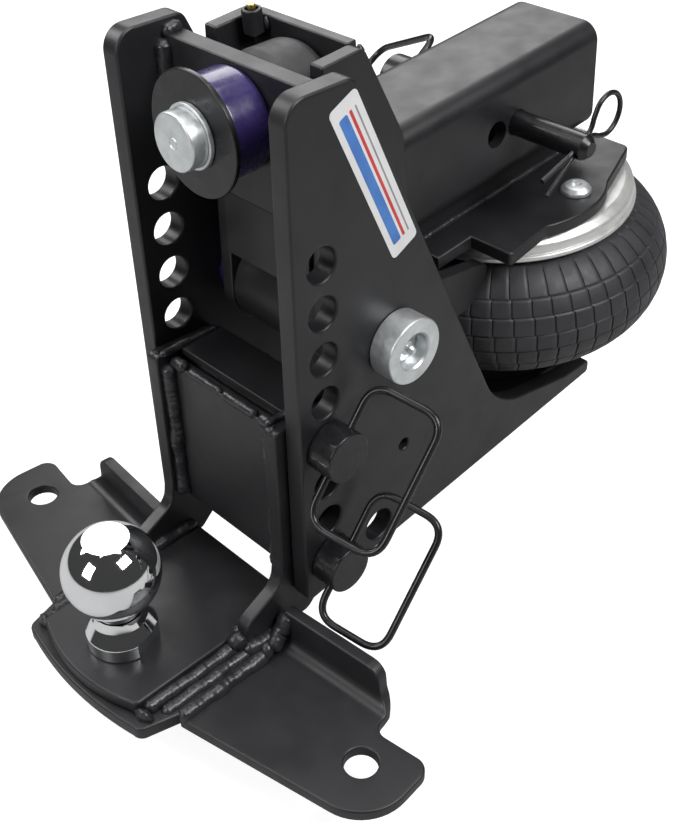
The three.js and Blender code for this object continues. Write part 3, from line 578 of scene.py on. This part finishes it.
def build_label():
    """A white sticker with three plain stripes, near the top rear of the right side plate."""
    long_axis = Vector((47.0, -98.7)).normalized()
    cross_axis = Vector((long_axis.y, -long_axis.x))
    start = Vector((-38.4, 154.2))

    def region(name, p0, p1, q0, q1, radius, proud, look):
        loop = []
        for p, q in ((p0, q0), (p1, q0), (p1, q1), (p0, q1)):
            spot = start + long_axis * p + cross_axis * q
            loop.append((spot.x, spot.y, radius))
        face = -PLATE_OUT - proud
        obj = upright(name, [rounded(loop, 0.2)], face, face + 0.16, 0.04)
        settle(obj, look, HEAD)

    region("label_backing", 0, 107, -10.2, 10.2, 3, 0.2, "label_white")
    region("label_blue_stripe", 8, 99, 0.4, 6.4, 1.2, 0.3, "label_blue")
    region("label_red_stripe", 8, 99, -3.0, -1.2, 0.5, 0.3, "label_red")
    region("label_grey_stripe", 8, 99, -6.4, -5.4, 0.3, 0.3, "label_grey")


# ---------------------------------------------------------------- shank arm


def build_arm():
    half = TUBE_SIZE / 2
    corner = 11.6
    loops = [square(half, corner), square(half - TUBE_WALL, corner - TUBE_WALL)]
    obj = facing("receiver_tube_steel", loops, TUBE_REAR, TUBE_FRONT, 0.9)
    obj.data.transform(at(z=TUBE_MID))
    drills = []
    reach, radius = 60, 8.4
    for x in (SHANK_PIN_X, SPARE_HOLE_X):
        drill = turned("drill", [(0, -reach), (radius, -reach), (radius, reach), (0, reach)], 48)
        drill.data.transform(at(x, 0, TUBE_MID) @ ALONG_Y)
        drills.append(drill)
    settle(carve(obj, *drills), "powder_coat", SHANK, "receiver_tube", turn=ARM)

    arm = rounded([
        (-13, 161, 1.5), (16, 161, 7), (41.4, 103, 12), (46, 8, 20), (64, 2, 4), (60, -22, 12),
        (34, -30, 30), (-32, -28.5, 27),
    ])
    obj = upright("arm", [arm, circle(0, 0, 14.9)], ARM_IN, ARM_OUT, 1.2)
    settle_pair(obj, "arm_plate_steel", "powder_coat", SHANK, "arm_plate", turn=ARM)
    tail = rounded([
        (36, 9, 0), (62, 2.2, 20), (96, -5.5, 3), (100.5, -9, 4), (98, -17, 8), (90, -27, 12),
        (80, -33, 10), (36, -30, 6),
    ])
    obj = upright("tail", [tail], ARM_OUT + 0.3, ARM_OUT + 9.8, 0.9)
    settle_pair(obj, "tail_plate_steel", "powder_coat", SHANK, "tail_plate", turn=ARM)

    back = rounded([
        (-ARM_SPAN, 30, 0.8), (ARM_SPAN, 30, 0.8), (ARM_SPAN, 161, 0.8), (-ARM_SPAN, 161, 0.8),
    ])
    obj = facing("arm_back_plate_steel", [back, circle(0, 125.4, 16.6)], 13.5, 20.5)
    settle(obj, "powder_coat", SHANK, "arm_back_plate", turn=ARM)
    front = [(-28.6, 31), (-19.4, 31), (-14.6, 76), (-23.8, 76)]
    obj = upright("arm_front_plate_steel", [front], -ARM_SPAN, ARM_SPAN, 0.8)
    settle(obj, "powder_coat", SHANK, "arm_front_plate", turn=ARM)
    drum = [(14.2, -ARM_SPAN), (28.5, -ARM_SPAN, 0.8), (28.5, ARM_SPAN, 0.8), (14.2, ARM_SPAN)]
    obj = turned("pivot_drum_steel", drum, 96, closed=True)
    settle(obj, "powder_coat", SHANK, "pivot_drum", turn=ARM @ ALONG_Y)
    bush = [(PIVOT_BORE, 8), (13.9, 8, 0.3), (13.9, ARM_OUT, 0.3), (PIVOT_BORE, ARM_OUT)]
    obj = turned("bush", bush, 48, closed=True)
    settle_pair(obj, "pivot_bush_brass", "brass", SHANK, "pivot_bush", turn=ARM @ ALONG_Y)

    valve_place = ARM @ at(7.2, 29, 0)
    tube = [(3.6, 153), (5.6, 153, 0.4), (5.6, 166, 0.8), (3.6, 166, 0.5)]
    obj = turned("valve_tube_steel", tube, 32, closed=True)
    settle(obj, "powder_coat", SHANK, "valve_tube", turn=valve_place)
    valve = [
        (0, 151.5), (3.2, 151.5, 0.3), (3.2, 163, 0.5), (2.4, 164, 0.2), (2.4, 168.5, 0.5),
        (0, 168.5),
    ]
    obj = turned("air_valve_brass", valve, 24)
    settle(obj, "brass", SHANK, "air_valve", turn=valve_place)

    settle_welds("arm_box", SHANK, [
        ([(14, 35.2, 158), (14, 35.2, 100)], 2.6),
        ([(21.5, 35.6, 158), (21.5, 35.6, 98)], 2.6),
    ], turn=ARM)
    settle_welds("tube", SHANK, [
        ([(21.8, 28, TUBE_TOP + 0.4), (21.8, 0, TUBE_TOP + 0.4)], 3.0),
        ([(48, 24.6, BAG_PLATE_TOP + 1.2), (222, 24.6, BAG_PLATE_TOP + 1.2)], 2.2),
    ], turn=ARM)
    for number, y in enumerate((24.2, 33.8), 1):
        line = [(12.2, y, 153.5), (12.2, y, 160.5)]
        obj = weld_bead(f"valve_tube_weld_{number}", line, 1.6, number)
        settle(obj, "weld", SHANK, turn=ARM, crease=ROUND)

    saddle = [(46, -24), (224, -24), (224, 24), (46, 24)]
    obj = plate("tube_saddle_steel", [saddle], BAG_PLATE_TOP + 0.3, 25.2, 0.8)
    settle(obj, "powder_coat", SHANK, "tube_saddle", turn=ARM)


def build_rebound():
    place = at(z=REBOUND_Z) @ ALONG_X
    radius, bore = REBOUND_PIN_RADIUS, REBOUND_BORE
    tip = -86
    rear = 20.2 - REBOUND_Z * math.sin(TILT)
    pin = [
        (0, tip), (2.2, tip), (2.8, tip + 0.5, 0.2), (3.4, tip), (radius, tip, 1.3),
        (radius, rear), (0, rear),
    ]
    settle(turned("rebound_pin_zinc", pin, 96), "zinc", SHANK, "rebound_pin", turn=place)
    ring = [(bore, -76.4), (17.4, -76.4, 0.4), (17.4, -73.8, 0.4), (bore, -73.8)]
    obj = turned("retaining_ring_zinc", ring, 64, closed=True)
    settle(obj, "zinc", SHANK, "retaining_ring", turn=place)
    washer = [(bore, -73.5), (33.4, -73.5, 0.7), (33.4, -70.5, 0.7), (bore, -70.5)]
    obj = turned("rebound_washer_black", washer, 128, closed=True)
    settle(obj, "gloss_black", SHANK, "rebound_washer", turn=place)
    front, back = -70.2, -43.8
    bushing = [
        (bore, front), (26.5, front, 1.2), (28, -67, 3), (28, -47, 3), (26.5, back, 1.2),
        (bore, back),
    ]
    obj = subdivided_turn("rebound_bushing_purple", bushing, 96)
    settle(obj, "urethane", None, "rebound_bushing", turn=place)
    span_soft(obj)
    front, back = -30.7, -0.2
    cushion = [
        (bore, front), (28.5, front, 1.2), (30.5, -26, 5), (30.5, -5, 5), (28.5, back, 1.2),
        (bore, back),
    ]
    obj = subdivided_turn("rear_cushion_rubber", cushion, 96)
    settle(obj, "cushion_rubber", None, "rear_cushion", turn=place)
    span_soft(obj)


def subdivided_turn(name, corners, count):
    """A turned ring whose long sides have rows in between, so that it can bend."""
    long_side, parts = 12, 6
    dense = []
    for index, corner in enumerate(corners):
        dense.append(corner)
        following = corners[(index + 1) % len(corners)]
        if abs(following[1] - corner[1]) > long_side:
            start, end = Vector(corner[:2]), Vector(following[:2])
            dense += [tuple(start.lerp(end, k / parts)) for k in range(1, parts)]
    return turned(name, dense, count, closed=True)


def span_soft(obj):
    """Bakes the placement of a rubber piece, which sits between the bodies at its two ends, into
    its mesh.
    """
    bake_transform(obj)


# ---------------------------------------------------------------- air spring


def bag_plate_outline():
    """A neck between the arm plates, two square ears, a round bulge and a tapering tail."""
    half = [(46.5, ARM_SPAN), (66, ARM_SPAN), (66, ARM_OUT), (96, ARM_OUT)]
    half += bezier((96, 73), (96, 76), (99, 76), 6)
    half += bezier((134, 73), (150, 82), (172, 81), 12)
    half += bezier((172, 81), (187, 80), (200, 71), 12)[1:]
    half += bezier((242, 56), (246, 54.5), (246, 50.5), 6)
    return half + [(x, -y) for x, y in reversed(half)]


def build_air_spring():
    loops = [bag_plate_outline()] + [circle(SCREW_X, y, 5.4, 32) for y in (SCREW_Y, -SCREW_Y)]
    obj = plate("bag_plate_steel", loops, BAG_PLATE_LOW, BAG_PLATE_TOP, 1.3)
    settle(obj, "powder_coat", SHANK, "bag_plate", turn=ARM)

    screw = [
        (0, BAG_PLATE_LOW), (4.9, BAG_PLATE_LOW), (4.9, 10.3), (10, 10.3, 0.2), (9.6, 12.4, 1.0),
        (7.0, 15.0, 2.0), (4.2, 15.6, 0.6), (3.4, 15.6, 0.2), (3.2, 13.0), (0, 13.0),
    ]
    obj = turned("screw", screw, 48)
    settle_pair(obj, "bag_screw_zinc", "zinc", SHANK, "bag_screw", turn=ARM @ at(SCREW_X, SCREW_Y))

    bead = [
        (0, BEAD_LOW), (88, BEAD_LOW, 1.4), (88, -11.4, 1.2), (86.0, -10.9, 0.4),
        (85.9, -10.1, 0.4), (86.8, -9.4, 0.6), (86.0, -4.5, 4), (81, -0.2, 4), (68, 0.9, 3),
        (0, 0.9),
    ]
    obj = turned("bead_plate_metal", bead, 160)
    settle(obj, "bead_metal", SHANK, "bead_plate", turn=ARM @ at(BAG_X, 0, 0))

    obj = air_bag_mesh()
    settle(obj, "rubber", None, "air_bag", turn=ARM @ at(BAG_X, 0, 0), crease=1.0)
    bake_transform(obj)

    foot_x = BAG_X * math.cos(TILT) - BAG_BOTTOM * math.sin(TILT) - 4
    foot = [(0, 10.3), (52, 10.3, 1), (52, 22, 5), (46, 37, 6), (0, 37)]
    obj = turned("bag_foot_rubber", foot, 96)
    settle(obj, "rubber", HEAD, "bag_foot", turn=on_floor(foot_x))


def air_bag_mesh():
    """The bellows: a fat rolled skin with moulded blocks between thin grooves."""
    columns = 52
    groove = 0.06  # share of a column's width
    depth = 0.9
    top = BEAD_LOW - 0.3
    middle = (top + BAG_BOTTOM) / 2
    rise = (top - BAG_BOTTOM) / 2
    corner = 42
    band_edges = [0.285, 0.375, 0.465, 0.555, 0.645]
    count = 150
    across = [0.0, groove / 2, groove, 0.30, 0.54, 0.78, 1 - groove]
    rows = []
    for i in range(count + 1):
        t = i / count
        angle = math.pi / 2 - math.pi * t
        radius = BAG_RADIUS - corner + corner * math.cos(angle)
        height = middle + rise * math.sin(angle)
        ring_dip = 0.9 * any(abs(t - edge) < 0.0045 for edge in band_edges)
        fade_in = min(1.0, max(0.0, (t - 0.10) / 0.06))
        fade_out = min(1.0, max(0.0, (0.80 - t) / 0.05))
        in_pattern = fade_in * fade_out
        normal_r, normal_z = math.cos(angle), math.sin(angle)
        shift = 0.35 * sum(t > edge for edge in band_edges)
        row = []
        for c in range(columns):
            for share in across:
                dip = 1.0 if share < groove else 0.0
                dip = max(dip, ring_dip) * in_pattern
                bow = 0.16 * in_pattern * (1 - abs(2 * share - 1 - groove) ** 2)
                size = radius - 0.5 + (bow - depth * dip) * normal_r
                z = height + (bow - depth * dip) * normal_z * 0.6
                turn = math.tau * (c + share + shift * 0.3) / columns
                row.append((size * math.cos(turn), size * math.sin(turn), z))
        rows.append(row)
    return grid("air_bag_rubber", rows)


def build_air_line():
    port = BAG_X + 30
    fitting = [
        (0, BAG_PLATE_LOW), (7.6, BAG_PLATE_LOW), (7.6, 15, 0.6), (5, 16, 0.4), (5, 26, 0.8),
        (0, 26),
    ]
    obj = turned("air_fitting_brass", fitting, 48)
    settle(obj, "brass", SHANK, "air_fitting", turn=ARM @ at(port, 50, 0))
    on_plate = BAG_PLATE_TOP + 4.6
    route = [
        (port - 5.6, 50, 21), (port - 22, 47.5, 18), (165, 46, on_plate), (100, 46, on_plate),
        (70, 46, on_plate), (55.5, 45, 30), (54.5, 45, 60), (52, 43, 98), (38, 31, 124),
        (24.5, 29, 144),
    ]
    obj = wire("air_line_hose", smooth_path(route), 3)
    settle(obj, "hose", SHANK, "air_line", turn=ARM)


# ---------------------------------------------------------------- ball mount


def build_ball_mount():
    cheek = rounded([
        (-81.5, -29, 4), (-30, -32, 6), (-30, -152, 12), (-62, BASE_TOP + 0.3, 8),
        (-113, BASE_TOP + 0.3, 3), (-112, -160, 10), (-84, -146, 14), (-81.5, -128, 12),
    ])
    holes = [circle(HOLE_X, z, HOLE_RADIUS) for z in (UPPER_PIN_Z, LOWER_PIN_Z)]
    obj = upright("cheek", [cheek, *holes], CHEEK_IN, CHEEK_OUT, 1.3)
    settle_pair(obj, "cheek_steel", "powder_coat", HEAD, "ball_mount_cheek")

    span = CHEEK_SPAN
    front = rounded([(-span, -141.5, 1), (-span, -36, 1), (span, -36, 1), (span, -141.5, 1)])
    obj = facing("ball_mount_front_steel", [front], -72.5, -64.3)
    settle(obj, "powder_coat", HEAD, "ball_mount_front_plate")
    top = [(-64, -span), (-32, -span), (-32, span), (-64, span)]
    obj = plate("ball_mount_top_steel", [top], -34, -29, 0.8)
    settle(obj, "powder_coat", HEAD, "ball_mount_top_plate")

    front, bow, shoulder = -68, -207, span - 5
    outline = [(front, -span), (front, span)]
    outline += bezier((-185, span), (-189.5, span), (-190, shoulder), 6)
    outline += bezier((-190, shoulder), (bow, 0), (-190, -shoulder), 32)[1:-1]
    outline += reversed(bezier((-185, -span), (-189.5, -span), (-190, -shoulder), 6))
    loops = [outline, circle(BALL_X, 0, BALL_SHANK_HOLE)]
    obj = plate("ball_plate_steel", loops, -181.3, BALL_PLATE_TOP, 1.5)
    settle(obj, "powder_coat", HEAD, "ball_plate")
    base = [(front, -64), (front, 64), (-171, 64)]
    base += bezier((-192, 58), (-196, 56), (-196, 51), 6)
    base += bezier((-196, 51), (bow, 0), (-196, -51), 32)[1:-1]
    base += bezier((-196, -51), (-196, -56), (-192, -58), 6)
    base.append((-171, -64))
    loops = [base, circle(BALL_X, 0, BALL_SHANK_HOLE)]
    obj = plate("base_plate_steel", loops, BASE_LOW, BASE_TOP, 1.5)
    settle(obj, "powder_coat", HEAD, "base_plate")

    settle_pair(sway_tab_mesh(), "sway_tab_steel", "powder_coat", HEAD, "sway_tab")

    settle_welds("ball_mount", HEAD, [
        ([(-74, 46, -140), (-74, 46, -36)], 5.0),
        ([(-78, 50, -31.5), (-77, 54, -31.5)], 4.4),
        ([(-70.5, 47, -35.5), (-70.5, 33, -35.5)], 4.0),
        ([(-70.5, 31, -36), (-70.5, 0.5, -36)], 2.8),
        ([(-79, 47.4, -28.8), (-34, 47.4, -29.6)], 2.6),
        ([(-68, 46.6, -170.5), (-100, 46.6, -170.3), (-114.5, 48, -171)], 4.2),
        ([(-115, 47, -171), (-115.5, 57.5, -175)], 6.2),
        ([(-70, 58.6, -180), (-104, 59, -178.5), (-116, 57, -177)], 5.2),
        ([(-116, 50, -178.4), (-150, 50.2, -178.8), (-184, 48.6, -179)], 4.6),
        ([(-183, 50, -180), (-190, 52, -181.5)], 6.2),
        ([(-108, 57, -181.6), (-140, 57, -182.2), (-178, 56.4, -182.6)], 4.2),
        ([(-104, 64.6, -183.4), (-140, 64.6, -184.4), (-172, 64.2, -184.8)], 4.6),
        ([(-108, 62, -181), (-99, 66, -180)], 6.4),
        ([(-102, 64.5, -183), (-91, 64, -175), (-84, 64, -163)], 5.6),
    ])


def sway_tab_mesh():
    """One plate, cut to its flat outline and then bent up along its rear edge into a flange.

    The outline is in (p, q): q runs along the bend line, p rearwards across it.
    """
    front, inner = -104.2, 64.3
    sweep = math.atan2(7, 82.7)
    place = at(front, inner, TAB_LOW) @ Matrix.Rotation(-sweep, 4, "Z")

    def local(x, y, radius=0):
        spot = Matrix.Rotation(sweep, 2) @ Vector((x - front, y - inner))
        return (spot.x, spot.y, radius)

    thick = TAB_TOP - TAB_LOW
    straight, bend_outer, height = 8, 16, 34.5
    neutral = bend_outer - thick / 2
    bend_end = straight + neutral * math.pi / 2
    rim = bend_end + height - bend_outer
    ear = [local(-171.5, inner), (rim, 2), (rim, 75, 10), (27, 76.5, 8), (14, 85, 4),
           local(-97.5, 150, 8), local(-92, 190, 9), local(-144, 194, 32)]
    hole = local(-118.3, 160)
    obj = plate("tab", [rounded(ear), circle(hole[0], hole[1], 10)], 0, thick, 1.3)
    bm = bmesh.new()
    bm.from_mesh(obj.data)
    strips = 13
    for k in range(strips + 1):
        cut = straight + (bend_end - straight) * k / strips
        everything = bm.verts[:] + bm.edges[:] + bm.faces[:]
        bmesh.ops.bisect_plane(bm, geom=everything, plane_co=(cut * MM, 0, 0), plane_no=(1, 0, 0))
    for vertex in bm.verts:
        p, z = vertex.co.x / MM, vertex.co.z / MM
        if p > straight:
            angle = min((p - straight) / neutral, math.pi / 2)
            up = max(p - bend_end, 0)
            vertex.co.x = (straight + (bend_outer - z) * math.sin(angle)) * MM
            vertex.co.z = (bend_outer - (bend_outer - z) * math.cos(angle) + up) * MM
    bm.to_mesh(obj.data)
    bm.free()
    obj.data.transform(place)
    for vertex in obj.data.vertices:
        vertex.co.y = max(vertex.co.y, inner * MM)
    return obj


def build_ball():
    profile = [
        (0, -109.2), (11, -109.2, 0.5), (12.5, -107.7, 0.5), (12.5, -55.9, 0.5), (22, -55.9, 0.8),
        (22, -46, 2.0), (16.5, -38, 6), (14.4, -33, 6), (15.0, -25.2, 1.5),
    ]
    first = math.acos(-0.858)
    last = math.acos(BALL_FLAT / BALL_RADIUS)
    steps = 40
    profile = rounded(profile, 0.3)
    for k in range(steps + 1):
        angle = first + (last - first) * k / steps
        profile.append((BALL_RADIUS * math.sin(angle), BALL_RADIUS * math.cos(angle)))
    profile += [(13.0, BALL_FLAT), (0, BALL_FLAT)]
    ball = turned("hitch_ball_chrome", profile, 128)
    tools = []
    for side in (1, -1):
        box = plate("flat", [[(-30, -5), (30, -5), (30, 5), (-30, 5)]], -57, -44.5, 0.01)
        box.data.transform(Matrix.Rotation(0.35, 4, "Z") @ at(0, side * 24, 0))
        tools.append(box)
    place = at(BALL_X, 0, BALL_Z)
    settle(carve(ball, *tools), "chrome", HEAD, "hitch_ball", turn=place, crease=0.5)

    bore = BALL_SHANK_HOLE
    washer = [(bore, -196.2), (21, -196.2, 0.4), (21, -191.2, 0.4), (bore, -191.2)]
    obj = turned("lock_washer_zinc", washer, 64, closed=True)
    settle(obj, "zinc", HEAD, "ball_lock_washer", turn=at(BALL_X, 0, 0))
    hexagon = circle(0, 0, 22, 6)
    obj = plate("ball_nut_zinc", [hexagon, circle(0, 0, 12.9)], -217.5, -196.5, 0.9)
    settle(obj, "zinc", HEAD, "ball_nut", turn=at(BALL_X, 0, 0))


# ---------------------------------------------------------------- hitch pins

BAIL_CORNER, BAIL_WIRE = 14, 2.3
BALL_BAIL_HALF, BALL_BAIL_REACH = 43.5, 46
BALL_BAIL_TURN, BALL_BAIL_LEAN = math.radians(51.5), math.radians(71.5)
RECEIVER_BAIL_HALF, RECEIVER_BAIL_REACH = 38.5, 86
RECEIVER_BAIL_TURN, RECEIVER_BAIL_LEAN = math.radians(34), math.radians(60)
HEAD_LENGTH, HEAD_RADIUS = 17, 15.5
CROSS_HOLE_DEPTH = 8  # of the wire's hole, under the end of the head
BALL_PIN_RADIUS, BALL_PIN_SEAT, BALL_PIN_TIP, BALL_CLIP_Y = 9.5, 71.1, 86, 76.5
RECEIVER_PIN_RADIUS, RECEIVER_PIN_SEAT, RECEIVER_PIN_TIP, RECEIVER_CLIP_Y = 7.95, 52, 90, 82
CLIP_WIRE, CLIP_BOW, CLIP_BOW_X = 1.6, 13, 27
BALL_PIN_CLIP_TURN, RECEIVER_CLIP_TURN = math.radians(80), math.radians(-22)


def pin_mesh(name, radius, seat, tip, clip_y, cross_angle, clip_angle):
    """A pin along Y with its head at the low end and two cross holes."""
    end = seat + HEAD_LENGTH
    profile = [
        (0, -end), (HEAD_RADIUS, -end, 1.0), (HEAD_RADIUS, -seat, 0.6), (radius, -seat),
        (radius, tip - 4, 0.8), (radius - 3.5, tip, 0.6), (0, tip),
    ]
    pin = turned(name, profile, 72)
    pin.data.transform(ALONG_Y)
    holes = []
    for bore, y, angle in (
        (2.75, -(end - CROSS_HOLE_DEPTH), -cross_angle),
        (3.5, clip_y, clip_angle),
    ):
        hole = turned("hole", [(0, -30), (bore, -30), (bore, 30), (0, 30)], 24)
        hole.data.transform(at(0, y, 0) @ Matrix.Rotation(angle, 4, "Y") @ ALONG_X)
        holes.append(hole)
    return carve(pin, *holes)


def bail_mesh(name, half_width, reach):
    """A wire loop: its hinge side lies on X, and it reaches along -Z."""
    w, far, c = half_width, -reach, BAIL_CORNER
    bends = []
    for a, b, d in (
        ((-(w - c), 0), (-w, 0), (-w, -c)),
        ((-w, far + c), (-w, far), (-(w - c), far)),
        ((w - c, far), (w, far), (w, far + c)),
        ((w, -c), (w, 0), (w - c, 0)),
    ):
        bends += bezier(a, b, d, 10)
    path = [(-4, 0), *bends, (4, 0)]
    return wire(name, [(x, 0, z) for x, z in path], BAIL_WIRE)


def clip_mesh(name):
    """A hairpin clip: two legs that spread behind the pin, and a round bow in front."""
    half = CLIP_WIRE + 0.12
    leg = [(-36, 6.5), (-14, half + 0.6), (-9, half), (9, half)]
    steps = 8
    arc = []
    for k in range(steps + 1):
        angle = math.pi * (-0.78 + 1.56 * k / steps)
        arc.append((CLIP_BOW_X + CLIP_BOW * math.cos(angle), CLIP_BOW * math.sin(angle)))
    points = [(x, -z) for x, z in leg] + arc + list(reversed(leg))
    return wire(name, smooth_path([(x, 0, z) for x, z in points], 6), CLIP_WIRE)


def build_pins():
    cross_y = BALL_PIN_SEAT + HEAD_LENGTH - CROSS_HOLE_DEPTH
    clip_place = at(0, BALL_CLIP_Y, 0) @ Matrix.Rotation(BALL_PIN_CLIP_TURN, 4, "Y")
    for stem, z, slide in (("upper", UPPER_PIN_Z, 0), ("lower", LOWER_PIN_Z, 7.5)):
        place = at(HOLE_X, 0, z)
        body = f"{stem}_pin_set"
        obj = pin_mesh(f"{stem}_pin_black", BALL_PIN_RADIUS, BALL_PIN_SEAT, BALL_PIN_TIP,
                       BALL_CLIP_Y, BALL_BAIL_TURN, BALL_PIN_CLIP_TURN)
        settle(obj, "gloss_black", body, f"{stem}_pin", turn=place)
        hang = (place @ at(0, -cross_y, 0) @ Matrix.Rotation(-BALL_BAIL_TURN, 4, "Y")
                @ Matrix.Rotation(-BALL_BAIL_LEAN, 4, "X") @ at(slide, 0, 0))
        obj = bail_mesh(f"{stem}_bail_wire", BALL_BAIL_HALF, BALL_BAIL_REACH)
        settle(obj, "gloss_black", f"{stem}_bail_body", f"{stem}_bail", turn=hang, crease=ROUND)
        obj = clip_mesh(f"{stem}_clip_wire")
        settle(obj, "gloss_black", body, f"{stem}_clip", turn=place @ clip_place, crease=ROUND)

    cross_y = RECEIVER_PIN_SEAT + HEAD_LENGTH - CROSS_HOLE_DEPTH
    turn = RECEIVER_BAIL_TURN - TILT
    place = ARM @ at(SHANK_PIN_X, 0, TUBE_MID)
    body = "receiver_pin_set"
    obj = pin_mesh("receiver_pin_black", RECEIVER_PIN_RADIUS, RECEIVER_PIN_SEAT, RECEIVER_PIN_TIP,
                   RECEIVER_CLIP_Y, -turn, -RECEIVER_CLIP_TURN)
    half_turn = Matrix.Rotation(math.pi, 4, "Z")
    settle(obj, "gloss_black", body, "receiver_pin", turn=place @ half_turn)
    hang = (place @ at(0, cross_y, 0) @ Matrix.Rotation(-turn, 4, "Y")
            @ Matrix.Rotation(RECEIVER_BAIL_LEAN, 4, "X"))
    obj = bail_mesh("receiver_bail_wire", RECEIVER_BAIL_HALF, RECEIVER_BAIL_REACH)
    settle(obj, "gloss_black", "receiver_bail_body", "receiver_bail", turn=hang, crease=ROUND)
    obj = clip_mesh("receiver_clip_wire")
    clip_place = at(0, -RECEIVER_CLIP_Y, 0) @ Matrix.Rotation(RECEIVER_CLIP_TURN, 4, "Y")
    settle(obj, "gloss_black", body, "receiver_clip", turn=place @ clip_place, crease=ROUND)


# ---------------------------------------------------------------- stage


FLOOR_HALF, FLOOR_GAP = 6.0, 0.002  # metres
FLOOR_GLOW = 0.86  # seen by the camera only, so that the paper looks white and lights nothing
LAMP_TARGET = Vector((0.15, 0.0, 0.05))


def build_stage():
    build_floor()
    build_lights()
    build_camera()


def build_floor():
    """White studio paper just under the hitch."""
    floor_mesh = bpy.data.meshes.new("studio_floor")
    z = frame_bounds[0][2] - FLOOR_GAP
    corners = [(u * FLOOR_HALF, v * FLOOR_HALF, z) for u, v in ((-1, -1), (1, -1), (1, 1), (-1, 1))]
    floor_mesh.from_pydata(corners, [], [(0, 1, 2, 3)])
    floor = to_object("studio_floor", floor_mesh)
    paper = bpy.data.materials.new("studio_paper")
    paper.use_nodes = True
    nodes, links = paper.node_tree.nodes, paper.node_tree.links
    nodes.remove(nodes["Principled BSDF"])
    grain = nodes.new("ShaderNodeTexNoise")
    grain.inputs["Scale"].default_value = 40
    tone = nodes.new("ShaderNodeValToRGB")
    tone.color_ramp.elements[0].color = (0.40, 0.40, 0.40, 1)
    tone.color_ramp.elements[1].color = (0.44, 0.44, 0.44, 1)
    links.new(grain.outputs["Fac"], tone.inputs["Fac"])
    matte = nodes.new("ShaderNodeBsdfDiffuse")
    links.new(tone.outputs["Color"], matte.inputs["Color"])
    glow = nodes.new("ShaderNodeEmission")
    glow.inputs["Strength"].default_value = FLOOR_GLOW
    seen = nodes.new("ShaderNodeAddShader")
    links.new(matte.outputs["BSDF"], seen.inputs[0])
    links.new(glow.outputs["Emission"], seen.inputs[1])
    path = nodes.new("ShaderNodeLightPath")
    mix = nodes.new("ShaderNodeMixShader")
    links.new(path.outputs["Is Camera Ray"], mix.inputs["Fac"])
    links.new(matte.outputs["BSDF"], mix.inputs[1])
    links.new(seen.outputs["Shader"], mix.inputs[2])
    links.new(mix.outputs["Shader"], nodes["Material Output"].inputs["Surface"])
    floor.data.materials.append(paper)


def build_lights():
    """Soft boxes, each as (name, place, watts, width, height), over a faint even fill."""
    world = bpy.data.worlds.new("studio_world")
    scene.world = world
    world.use_nodes = True
    fill = world.node_tree.nodes["Background"].inputs
    fill["Color"].default_value = (1, 1, 1, 1)
    fill["Strength"].default_value = 0.05

    lamps = [
        ("key_light", (0.5, -1.3, 1.45), 28, 1.0, 0.7),
        ("top_light", (0.2, 0.1, 1.6), 14, 1.4, 1.0),
        ("side_light", (-1.6, 0.1, 1.0), 15, 0.7, 1.0),
        ("rear_light", (1.3, 1.2, 1.3), 15, 1.3, 0.9),
        ("left_light", (-0.45, 1.3, 1.25), 13, 0.9, 0.7),
    ]
    for name, place, power, wide, high in lamps:
        light = bpy.data.lights.new(name, "AREA")
        light.energy = power
        light.shape = "RECTANGLE"
        light.size = wide
        light.size_y = high
        lamp = to_object(name, light)
        lamp.location = place
        towards = LAMP_TARGET - Vector(place)
        lamp.rotation_euler = towards.to_track_quat("-Z", "Y").to_euler()


def build_camera():
    """From the right rear and above, over the ball."""
    camera = bpy.data.cameras.new("photo_camera")
    camera.sensor_fit = "HORIZONTAL"
    camera.sensor_width = 36
    camera.lens = 62.63
    camera.shift_x = -0.00995
    camera.shift_y = -0.00495
    camera.clip_start = 0.01
    eye = to_object("photo_camera", camera)
    eye.location = (-0.239637, -0.445144, 0.467670)
    eye.rotation_euler = [math.radians(d) for d in (52.24847, 0.72478, -44.70228)]
    scene.camera = eye
    scene.view_settings.view_transform = "Standard"


build_head()
build_label()
build_arm()
build_rebound()
build_air_spring()
build_air_line()
build_ball_mount()
build_ball()
build_pins()
build_stage()
